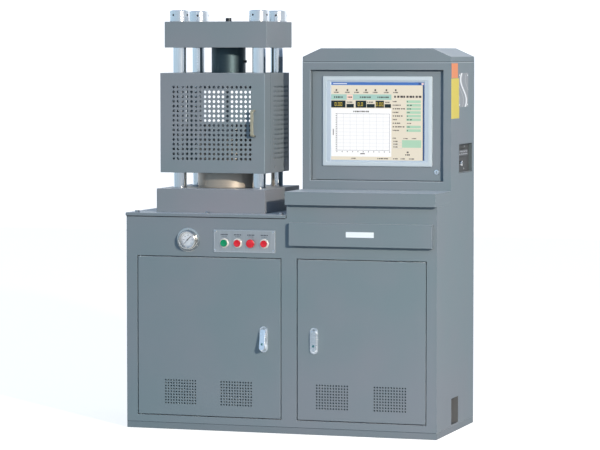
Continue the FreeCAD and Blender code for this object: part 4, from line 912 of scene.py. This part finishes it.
def button(node, n, centre):
    x, face, middle_z = centre
    colour = BUTTONS[node]
    bars = []
    for row, (half, height) in enumerate(((13.0, 3.6), (9.5, 1.4))):
        z = middle_z + 29.5 - 6.2 * row
        for k in range(5):
            start = x - half + k * half * 0.42
            bar = (start, start + half * (0.30 + 0.06 * ((k + n) % 2)))
            bars.append((bar, (face - 0.12, face), (z - height / 2, z + height / 2)))
    piece(node + "_dashes", boxes(*bars), "mark", "machine")
    if node == "emergency_button":
        neck = [(0, 6), (9, 6), (9, -6.5), (0, -6.5)]
        turned(node + "_neck", neck, centre, "y", "ring", node, 32)
        cap = [
            (0, -6), (13.5, -6), (15, -7.2), (15, -9.5), (14.2, -12), (11.5, -13.6), (7, -14.3), (0, -14.6),
        ]
    else:
        ring = [
            (12.3, -0.2), (17, -0.2), (17, -3.4), (15.8, -5.6), (14, -6.6), (12.8, -6.4), (12.3, -5.6),
            (12.3, -0.2),
        ]
        turned(node + "_collar", ring, centre, "y", "ring", "machine")
        cap = [
            (0, -2.5), (8, -2.5), (12, -6), (12, -8.8), (11.2, -9.8), (10, -10.0), (8.5, -9.4), (0, -9.1),
        ]
    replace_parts(turned(node + "_cap", cap, centre, "y", colour, node), node)


# Locks

def plane_lock(side, popped):
    """Oblong chrome escutcheon with a raised rim, and a lever with rounded ends and a key barrel."""
    low, high = box_mm(side + "_lock_body")
    door = side + "_door"
    x = LOCK_X[side]
    across, upright = (low.x, high.x), (low.z, high.z)
    half, thickness, rim_width = (high.x - low.x) / 2, 3.0, 2.2
    outer = rounded(across, upright, half - 0.01, 10)
    inner = rounded(grown(across, -rim_width), grown(upright, -rim_width), half - rim_width - 0.01, 10)
    body = slab(side + "_escutcheon", outer, "front", FRONT_Y, thickness, "lock", door, 0.8)
    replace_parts(body, side + "_lock_body")
    barrel = rectangle((x - 8, x + 8), (LOCK_PIVOT_Z - 8, LOCK_PIVOT_Z + 8))
    slab(side + "_lock_barrel", barrel, "front", FRONT_Y + 20, 20, "zinc", door, 0.8)
    rim = rim_between(outer, inner, FRONT_Y - thickness, 1.2)
    piece(side + "_rim", rim, "lock", door, 0.5)
    lever(side, x, math.radians(popped))


def leaning(outline, depths, lean):
    """Prism between two depths, turned about the lever's pin."""
    points = []
    for depth in depths:
        for u, v in outline:
            down = v - LOCK_PIVOT_Z
            y = depth * math.cos(lean) + down * math.sin(lean)
            z = down * math.cos(lean) - depth * math.sin(lean)
            points.append((u, LEVER_PIN_Y + y, LOCK_PIVOT_Z + z))
    return points, prism_faces(len(outline))


def lever(side, x, lean):
    """Lever about its pin; a popped-out lever leans out of the escutcheon."""
    body = side + "_lock_lever"
    face, half, key_z = -3.5, 10.2, LOCK_PIVOT_Z - 51
    outline = rounded((x - half, x + half), (LOCK_PIVOT_Z - 73, LOCK_PIVOT_Z + 2.4), 9.6, 8)
    plate = leaning(outline, (2.6, face), lean)
    obj = piece(side + "_lever_face", plate, "lock", body, 1.3)
    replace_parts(obj, body)
    # The key's slot is a thin black bar: painted shade
    parts = (
        ("barrel", circle(x, key_z, 5.0), 0.7, "screw"),
        ("key", circle(x, key_z, 3.9), 0.9, "key"),
        ("slot", rectangle((x - 0.5, x + 0.5), (key_z - 2.5, key_z + 2.5)), 1.1, "black"),
    )
    for part, shape, lift, material in parts:
        prism = leaning(shape, (face + 0.3, face - lift), lean)
        piece(f"{side}_lever_{part}", prism, material, body)


def cam_lock():
    """Round lock with a key slot; its shaft carries the cam behind the panel."""
    low, high = box_mm("cam_lock")
    face = low.y + 3
    x, z = 511.0, 909.0
    profile = [(0, -0.1), (9.5, -0.1), (9.5, -1.2), (8.6, -2.6), (6.4, -3.0), (6.2, -2.4), (0, -2.4)]
    head = turned("cam_lock_face", profile, (x, face, z), "y", "lock", "cam_lock", 48)
    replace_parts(head, "cam_lock")
    # Thin black bar on the face: painted shade of the key slot
    slot = rectangle((x - 0.7, x + 0.7), (z - 4.2, z + 4.2))
    slab("cam_lock_slot", slot, "front", face - 2.4, 0.2, "black", "cam_lock", 0)
    shaft = [(0, -1), (3.6, -1), (3.6, high.y - face), (0, high.y - face)]
    turned("cam_lock_shaft", shaft, (x, face, z), "y", "zinc", "cam_lock", 24)
    cam = rounded((x - 8, x + 8), (z - 8, high.z), 6)
    slab("cam_lock_cam", cam, "front", high.y, 2.4, "zinc", "cam_lock", 0.4)


# Display

LAYER = 0.12
# The strokes of a nought in shares of its width and height: left, right, top and bottom
NOUGHT = (
    (0, 1, 0, 0.14), (0.8, 1, 0, 0.5), (0.8, 1, 0.5, 1), (0, 1, 0.86, 1), (0, 0.2, 0.5, 1), (0, 0.2, 0, 0.5),
)


def display():
    """Plain measuring screen of bars, boxes and noughts with no words, in shares of its size."""
    low, high = box_mm("monitor_screen")
    sheet = rectangle((low.x, high.x), (low.z, high.z))
    panel = slab("display_panel", sheet, "front", high.y, 1.2, "dark", "monitor_panel", 0)
    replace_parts(panel, "monitor_screen")
    width = high.x - low.x
    height = high.z - low.z
    base = high.y - 1.2
    patches = {colour: ([], []) for colour in LIT}

    def patch(colour, u0, u1, v0, v1, layer=1):
        x = (low.x + u0 * width, low.x + u1 * width)
        z = (high.z - v1 * height, high.z - v0 * height)
        add_box(*patches[colour], x, (base - LAYER * layer, base - LAYER * (layer - 1)), z)

    def marks(u0, u1, v0, v1, count, layer=2):
        step = (u1 - u0) / count
        for k in range(count):
            patch("ink", u0 + k * step, u0 + k * step + step * (0.55 + 0.15 * (k % 3)), v0, v1, layer)

    patch("title", 0.0, 1.0, 0.0, 0.036)
    patch("white", 0.02, 0.17, 0.014, 0.022, 2)
    patch("edge", 0.94, 0.965, 0.006, 0.03, 2)
    patch("pink", 0.972, 0.995, 0.006, 0.03, 2)
    patch("beige", 0.0, 0.985, 0.036, 0.155)
    for u in (0.03, 0.15, 0.25, 0.35, 0.45, 0.57, 0.67):
        marks(u, u + 0.055, 0.122, 0.137, 4)
        patch("ink", u + 0.018, u + 0.034, 0.088, 0.112, 2)
    patch("teal", 0.0, 0.65, 0.155, 0.225)
    patch("pink", 0.168, 0.235, 0.158, 0.222, 2)
    for u0, u1, k in ((0.03, 0.13, 5), (0.18, 0.225, 3), (0.31, 0.43, 6), (0.50, 0.63, 7)):
        marks(u0, u1, 0.182, 0.200, k, 3)
    patch("beige", 0.0, 0.65, 0.225, 0.335)
    for u0, u1 in ((0.0, 0.155), (0.265, 0.38), (0.48, 0.57)):
        patch("night", u0, u1, 0.235, 0.325, 2)
    for u0, u1 in ((0.165, 0.245), (0.385, 0.47), (0.577, 0.645)):
        patch("night", u0, u1, 0.278, 0.325, 2)
        marks(u0 + 0.005, u1 - 0.01, 0.248, 0.262, 4, 2)
    for start, digits in ((0.038, "0.00"), (0.288, "0.0"), (0.482, "0.00")):
        digit_row(patch, start, digits)
    patch("white", 0.0, 0.65, 0.335, 0.955)
    marks(0.24, 0.41, 0.366, 0.384, 9)
    graph(patch)
    patch("beige", 0.65, 0.985, 0.155, 0.955)
    marks(0.68, 0.975, 0.170, 0.196, 9)
    for row in range(9):
        v = 0.232 + row * 0.0462
        marks(0.664, 0.71 + 0.022 * (row * 2 % 5), v + 0.006, v + 0.020, 4 + row % 3)
        if row != 6:
            patch("field", 0.812, 0.965, v - 0.003, v + 0.030, 2)
        marks(0.818, 0.835 + 0.014 * (row * 3 % 4), v + 0.008, v + 0.020, 1 + row % 4, 3)
    marks(0.665, 0.70, 0.708, 0.722, 3)
    patch("field", 0.765, 0.970, 0.738, 0.835, 2)
    for row in range(3):
        v = 0.748 + row * 0.036
        marks(0.672, 0.722, v, v + 0.014, 4)
        patch("line", 0.66, 0.765, v + 0.022, v + 0.025, 2)
    for u in (0.78, 0.87):
        marks(u, u + 0.05, 0.712, 0.724, 4)
    patch("ink", 0.815, 0.835, 0.885, 0.903, 2)
    marks(0.800, 0.850, 0.918, 0.936, 3)
    patch("beige", 0.0, 0.985, 0.955, 1.0)
    for u0, u1, k in ((0.22, 0.27, 4), (0.50, 0.62, 7), (0.67, 0.72, 3), (0.75, 0.80, 4), (0.84, 0.90, 4)):
        marks(u0, u1, 0.972, 0.986, k)
    patch("edge", 0.990, 1.0, 0.036, 1.0)
    for colour, shape in patches.items():
        piece("display_" + colour, shape, "lit_" + colour, "monitor_panel")


def digit_row(patch, u, digits):
    """Noughts and points drawn as strokes."""
    wide, tall, top_v = 0.018, 0.047, 0.258
    for character in digits:
        if character == ".":
            patch("digit", u, u + 0.005, 0.297, 0.305, 3)
            u += 0.010
            continue
        for left, right, top, bottom in NOUGHT:
            patch("digit", u + wide * left, u + wide * right, top_v + tall * top, top_v + tall * bottom, 3)
        u += 0.026


def graph(patch):
    """Empty plot with its axes, grid and ticks."""
    left, right, top, bottom = 0.062, 0.632, 0.405, 0.875

    def steps(low, high, count):
        return [low + (high - low) * n / count for n in range(count + 1)]

    for u in steps(left, right, 8)[1:-1]:
        patch("line", u - 0.001, u + 0.001, top, bottom, 2)
    for v in steps(top, bottom, 10)[1:-1]:
        patch("line", left, right, v - 0.001, v + 0.001, 2)
    for u in (left, right):
        patch("frame", u - 0.0018, u + 0.0018, top, bottom, 3)
    for v in (top, bottom):
        patch("frame", left, right, v - 0.002, v + 0.002, 3)
    for v in steps(top, bottom, 20):
        patch("ink", left - 0.014, left - 0.003, v - 0.0035, v + 0.0035, 2)
    for u in steps(left, right, 10):
        patch("ink", u - 0.004, u + 0.004, bottom + 0.012, bottom + 0.024, 2)
    patch("ink", 0.018, 0.026, 0.60, 0.68, 2)
    patch("ink", 0.315, 0.365, 0.912, 0.924, 2)


# Painted edge highlights and seam shadows

def edges():
    """Painted pale highlights along the edges of the folded sheets, and painted shadow in the seams under the
    roof cap and the cabinets.
    """
    low, high = box_mm("console_front")
    recess_x, recess_z = (low.x + 29.0, high.x - 27.8), (low.z + 32.0, high.z - 28.0)
    front = (low.y - 0.25, low.y + 0.4)
    side = (low.y - 0.2, box_mm("right_side")[1].y)
    across, corner = (low.x, high.x), (high.x - 0.4, high.x + 0.15)
    seam, below = (high.z - 0.9, high.z + 1.1), (high.z - 3.4, high.z - 0.9)
    lip = 2.2
    shape = boxes((across, front, seam), (corner, side, seam))
    piece("roof_seam", shape, "seam", "machine")
    shape = boxes(
        (across, front, below), (corner, side, below),
        ((recess_x[0] - lip, recess_x[0]), front, recess_z),
        ((recess_x[0] - lip, recess_x[1]), front, (recess_z[0] - lip, recess_z[0])),
    )
    piece("console_edge_highlights", shape, "edge", "machine")
    low, high = box_mm("guard_door")
    shape = boxes(((high.x - 2.6, high.x - 0.6), (low.y - 0.15, low.y + 0.5), (low.z + 1, high.z - 1)))
    piece("guard_edge_highlight", shape, "edge", "guard_door")
    low, high = box_mm("base_frame")
    shape = boxes(((low.x + 1, high.x - 1), (low.y - 0.2, low.y + 0.5), (high.z - 0.8, high.z + 1.0)))
    piece("plinth_seam", shape, "seam", "machine")


# Right side of the console

def side_details():
    """Bare plate with rivets, two plain strips, and the sockets in their recess."""
    plate = rounded((36.0, 164.0), (1134.0, 1253.0), 2.0)
    slab("bare_nameplate", plate, "side", RIGHT_X, 0.2, "nameplate", "machine", 0)
    rivet = [(0, 0), (3.2, 0), (3.0, 0.15), (1.8, 0.28), (0, 0.32)]
    for n, (y, z) in enumerate(((44.8, 1245.7), (155.0, 1244.9), (155.0, 1141.4), (44.8, 1142.1))):
        centre = (RIGHT_X + 0.15, y, z)
        turned(f"nameplate_rivet_{n}", rivet, centre, "x", "lock", "machine", 20)
    strips = {"orange": ((-64.6, 20.2), (1236.4, 1287.3)), "yellow": ((-68.0, 40.0), (1095.3, 1234.9))}
    for colour, (y, z) in strips.items():
        name = f"plain_{colour}_strip"
        slab(name, rectangle(y, z), "side", RIGHT_X, 0.12, colour + "_strip", "machine", 0)
    low, high = box_mm("socket_panel")
    seat = low.x + 2
    shell = rounded((48.3, 168.0), (962, 984), 2.5)
    slab("long_socket_shell", shell, "side", seat, 9.6, "connector", "machine", 0.8)
    half, depth = 1.3, (seat + 9.6, seat + 9.8)
    places = [(56 + n * 8.0, row) for n in range(14) for row in (968.5, 977.5)]
    pins = [(depth, (y - half, y + half), (z - half, z + half)) for y, z in places]
    piece("long_socket_pins", boxes(*pins), "screw", "machine")
    panel = rectangle((low.y, high.y), (low.z, high.z))
    slab("socket_back_sheet", panel, "side", low.x + 1.6, 0.5, "socket_paint", "machine", 0)
    ring = [(0, 9), (6.2, 9), (6.4, 11.5), (8.5, 11.5), (8.9, 10.8), (8.9, 0), (0, 0)]
    turned("round_socket_shell", ring, (seat, 86.5, 936), "x", "screw", "machine", 40)
    for n, (y, z) in enumerate(((154, 993.8), (148, 915.9))):
        screw(f"socket_screw_{n}", y, z, "side", seat, 3.0, "machine")


def cable_port():
    """Folded collar behind the edges of the cable port."""
    y, z, sheet = (-53.6, 41.2), (27.0, 119.5), 1.5
    depth = (RIGHT_X - 34, RIGHT_X - 1.9)
    walls = (
        ((y[0] - sheet, y[0]), z), ((y[1], y[1] + sheet), z),
        (y, (z[0] - sheet, z[0])), (y, (z[1], z[1] + sheet)),
    )
    shape = boxes(*[(depth, *wall) for wall in walls])
    piece("cable_port_collar", shape, "port", "machine")


def tube_caps():
    """Painted caps in the open ends of the base frame's two long tubes."""
    low, high = box_mm("base_frame")
    rail, wall = 40.0, 2.5
    z = (low.z + wall, high.z - wall)
    ends = ((low.x + 0.1, low.x + 1.1), (high.x - 1.1, high.x - 0.1))
    tubes = ((low.y + wall, low.y + rail - wall), (high.y - rail + wall, high.y - wall))
    caps = [(x, y, z) for x in ends for y in tubes]
    piece("tube_end_caps", boxes(*caps), "plinth", "machine")


def monitor():
    """Rounded bezel with a lighter rim and a slope down to the screen in a slightly darker colour that paints
    its shade, and the housing behind it.
    """
    low, high = box_mm("monitor_case")
    screen_low, screen_high = box_mm("monitor_screen")
    seat = screen_high.y
    outer = (low.x, high.x), (low.z, high.z)
    inner = (screen_low.x, screen_high.x), (screen_low.z, screen_high.z)

    def inset(spans, margin, radius):
        return rounded(grown(spans[0], -margin), grown(spans[1], -margin), radius)

    rim = (
        (outer, 0.0, 3.5, seat), (outer, 0.0, 3.5, low.y + 2.0), (outer, 0.8, 3.2, low.y + 0.6),
        (outer, 2.4, 3.0, low.y), (outer, 13.0, 5.0, low.y), (outer, 14.5, 4.5, low.y + 1.4),
        (outer, 14.5, 4.5, seat),
    )
    slope = (
        (outer, 14.6, 4.4, seat), (outer, 14.6, 4.4, low.y + 1.4), (inner, -2.5, 2.5, low.y + 2.2),
        (inner, 0.0, 1.5, seat - 1.4), (inner, 0.0, 1.5, seat),
    )
    made = {}
    for name, rings, material in (("rim", rim, "bezel"), ("slope", slope, "slope")):
        points = []
        for spans, margin, radius, level in rings:
            outline = inset(spans, margin, radius)
            points += [(u, level, v) for u, v in outline]
        shape = points, ring_faces(len(rings), len(outline), True)
        full_name = "monitor_bezel_" + name
        made[name] = piece(full_name, shape, material, "monitor_panel", smooth=True)
    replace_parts(made["rim"], "monitor_case")
    depth = high.y - (seat + 2.2)
    back = inset(outer, 4, 8)
    slab("monitor_housing", back, "front", high.y, depth, "housing", "monitor_panel", 4)


# Drawer and work plate

def drawer_details():
    """Bare plate on the drawer's front whose pale colour is a painted reflection, and rows of keys on the
    sloping keyboard.
    """
    plate = rounded((248, 348), (690.4, 709.4), 1.5)
    face = box_mm("drawer_front")[0].y
    slab("drawer_bare_plate", plate, "front", face, 0.8, "drawer_plate", "drawer", 0.2)
    low, high = box_mm("keyboard")
    rise = 8 / (high.y - low.y)
    border, row_pitch = 12, 22
    keys = []
    for row in range(6):
        y = low.y + 14 + row * row_pitch
        count = 5 if row == 0 else 18
        pitch = (high.x - low.x - 2 * border) / count
        level = low.z + 12 + (y - low.y) * rise
        for n in range(count):
            x = low.x + border + n * pitch
            keys.append(((x + 1, x + pitch - 1), (y, y + 18), (level, level + 4.5)))
    piece("keys", boxes(*keys), "dark", "drawer", 0.9)


def plate_bolts():
    """Washers, hex heads with chamfered crowns on the work plate, and a dark strip under it that paints its
    shadow.
    """
    low, high = box_mm("work_plate")
    top = high.z
    washer = [(0, 0), (10.5, 0), (10.8, 0.4), (10.8, 1.2), (0, 1.2)]
    heads = []
    for n, x in enumerate((low.x + 39, (low.x + high.x) / 2 + 5, high.x - 21)):
        for m, y in enumerate((low.y + 14, high.y - 14)):
            turned(f"plate_washer_{n}{m}", washer, (x, y, top), "z", "zinc", "machine", 32)
            name, outline = f"plate_bolt_{n}{m}", circle(x, y, 9.8, 6)
            heads.append(slab(name, outline, "top", top + 1.2, 7.0, "bolt", "machine", 1.0))
    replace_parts(heads[0], "frame_bolts")
    # Dark strip under the plate's front edge: painted shadow
    painted_shadow_strip = boxes(((low.x + 3, high.x - 2), (FRONT_Y - 0.7, FRONT_Y - 0.1), (low.z - 2.6, low.z - 0.1)))
    piece("plate_painted_shadow", painted_shadow_strip, "dark", "machine")


# Studio

def seen_as_white(name, strength):
    """Material that shows white to the camera, in metal and through glass, and lights nothing."""
    tree = MATERIALS[name].node_tree
    rays = add_node(tree, "ShaderNodeLightPath", {}).outputs
    seen = calculate(tree, "MAXIMUM", rays["Is Camera Ray"], rays["Is Glossy Ray"])
    seen = calculate(tree, "MAXIMUM", seen, rays["Is Transmission Ray"])
    level = calculate(tree, "MULTIPLY", seen, strength)
    shade(tree, {"Emission Color": (1, 1, 1, 1), "Emission Strength": level})


def stage_sheet(name, material, profile):
    """Wide sheet across the studio that follows a profile of (y, z) points."""
    half = 20800
    points = [(x, y, z) for y, z in profile for x in (-half, half)]
    faces = [(2 * n, 2 * n + 1, 2 * n + 3, 2 * n + 2) for n in range(len(profile) - 1)]
    sheet = mesh_object(name, points, faces)
    sheet.data.materials.append(MATERIALS[material])
    sheet.data.shade_smooth()
    return sheet


def sweep():
    """Pale floor that curves up into a backdrop, far enough off for a camera behind the machine."""
    front, foot, bend, level, top = -1300, 10400, 3600, -0.4, 20800
    curve = []
    for step in range(9):
        angle = math.radians(90 * step / 8)
        curve.append((foot + bend * math.sin(angle), bend - bend * math.cos(angle) + level))
    stage_sheet("floor", "floor", [(front, level), (foot, level)])
    stage_sheet("backdrop", "backdrop", curve + [(foot + bend, top)])
    apron = stage_sheet("floor_in_front", "floor", [(-top, level), (front, level)])
    apron.visible_diffuse = False
    apron.visible_glossy = False
    seen_as_white("floor", 0.79)
    seen_as_white("backdrop", 0.9)


def sky():
    """Bright horizon, bluer overhead and dim below, a little warmer on the right."""
    world = bpy.data.worlds.new("studio")
    bpy.context.scene.world = world
    world.use_nodes = True
    tree = world.node_tree
    direction = coordinate_parts(tree, "Generated")
    bands = (
        (0.0, (0.17, 0.21, 0.24)), (0.44, (0.23, 0.28, 0.32)), (0.52, (0.70, 0.86, 0.96)),
        (0.64, (0.49, 0.66, 0.82)), (1.0, (0.28, 0.41, 0.60)),
    )
    height = add_ramp(tree, map_range(tree, direction["Z"], {"From Min": -1.0}), bands)
    side = map_range(tree, direction["X"], {"From Min": -1.0})
    tint = mix_colours(tree, side, (0.92, 0.99, 1.06, 1), (1.0, 0.90, 0.88, 1))
    colour = mix_colours(tree, 1.0, height, tint, "MULTIPLY")
    fill(tree, tree.nodes["Background"], {"Color": colour})


def key_lamp():
    """Small warm lamp in front, to the right and fairly low."""
    azimuth, elevation = math.radians(43), math.radians(17)
    reach, target = 7000, Vector((0, 0, 700))
    direction = Vector((
        math.sin(azimuth) * math.cos(elevation),
        -math.cos(azimuth) * math.cos(elevation),
        math.sin(elevation),
    ))
    data = bpy.data.lights.new("key", "AREA")
    data.color = (1.0, 0.87, 0.72)
    data.size = 220 * MM
    data.energy = 500
    lamp = bpy.data.objects.new("key", data)
    lamp.location = (target + direction * reach) * MM
    lamp.rotation_euler = (-direction).to_track_quat("-Z", "Y").to_euler()
    bpy.context.collection.objects.link(lamp)


def camera():
    """Camera fitted to the photograph."""
    data = bpy.data.cameras.new("camera")
    data.lens = 173.202
    data.sensor_width = 36.0
    data.clip_end = 100
    obj = bpy.data.objects.new("camera", data)
    obj.location = Vector((3133.864, -9740.461, 1328.722)) * MM
    obj.rotation_euler = (math.radians(86.558), 0, math.radians(17.860))
    bpy.context.collection.objects.link(obj)
    bpy.context.scene.camera = obj


dress_nodes()
vented_door("left")
vented_door("right")
guard()
guard_handle()
load_frame()
jack()
gauge()
controls()
plane_lock("left", 13)
plane_lock("right", 0)
cam_lock()
edges()
monitor()
display()
side_details()
cable_port()
tube_caps()
drawer_details()
plate_bolts()
sweep()
sky()
key_lamp()
camera()
bpy.context.scene.view_settings.view_transform = "Standard"
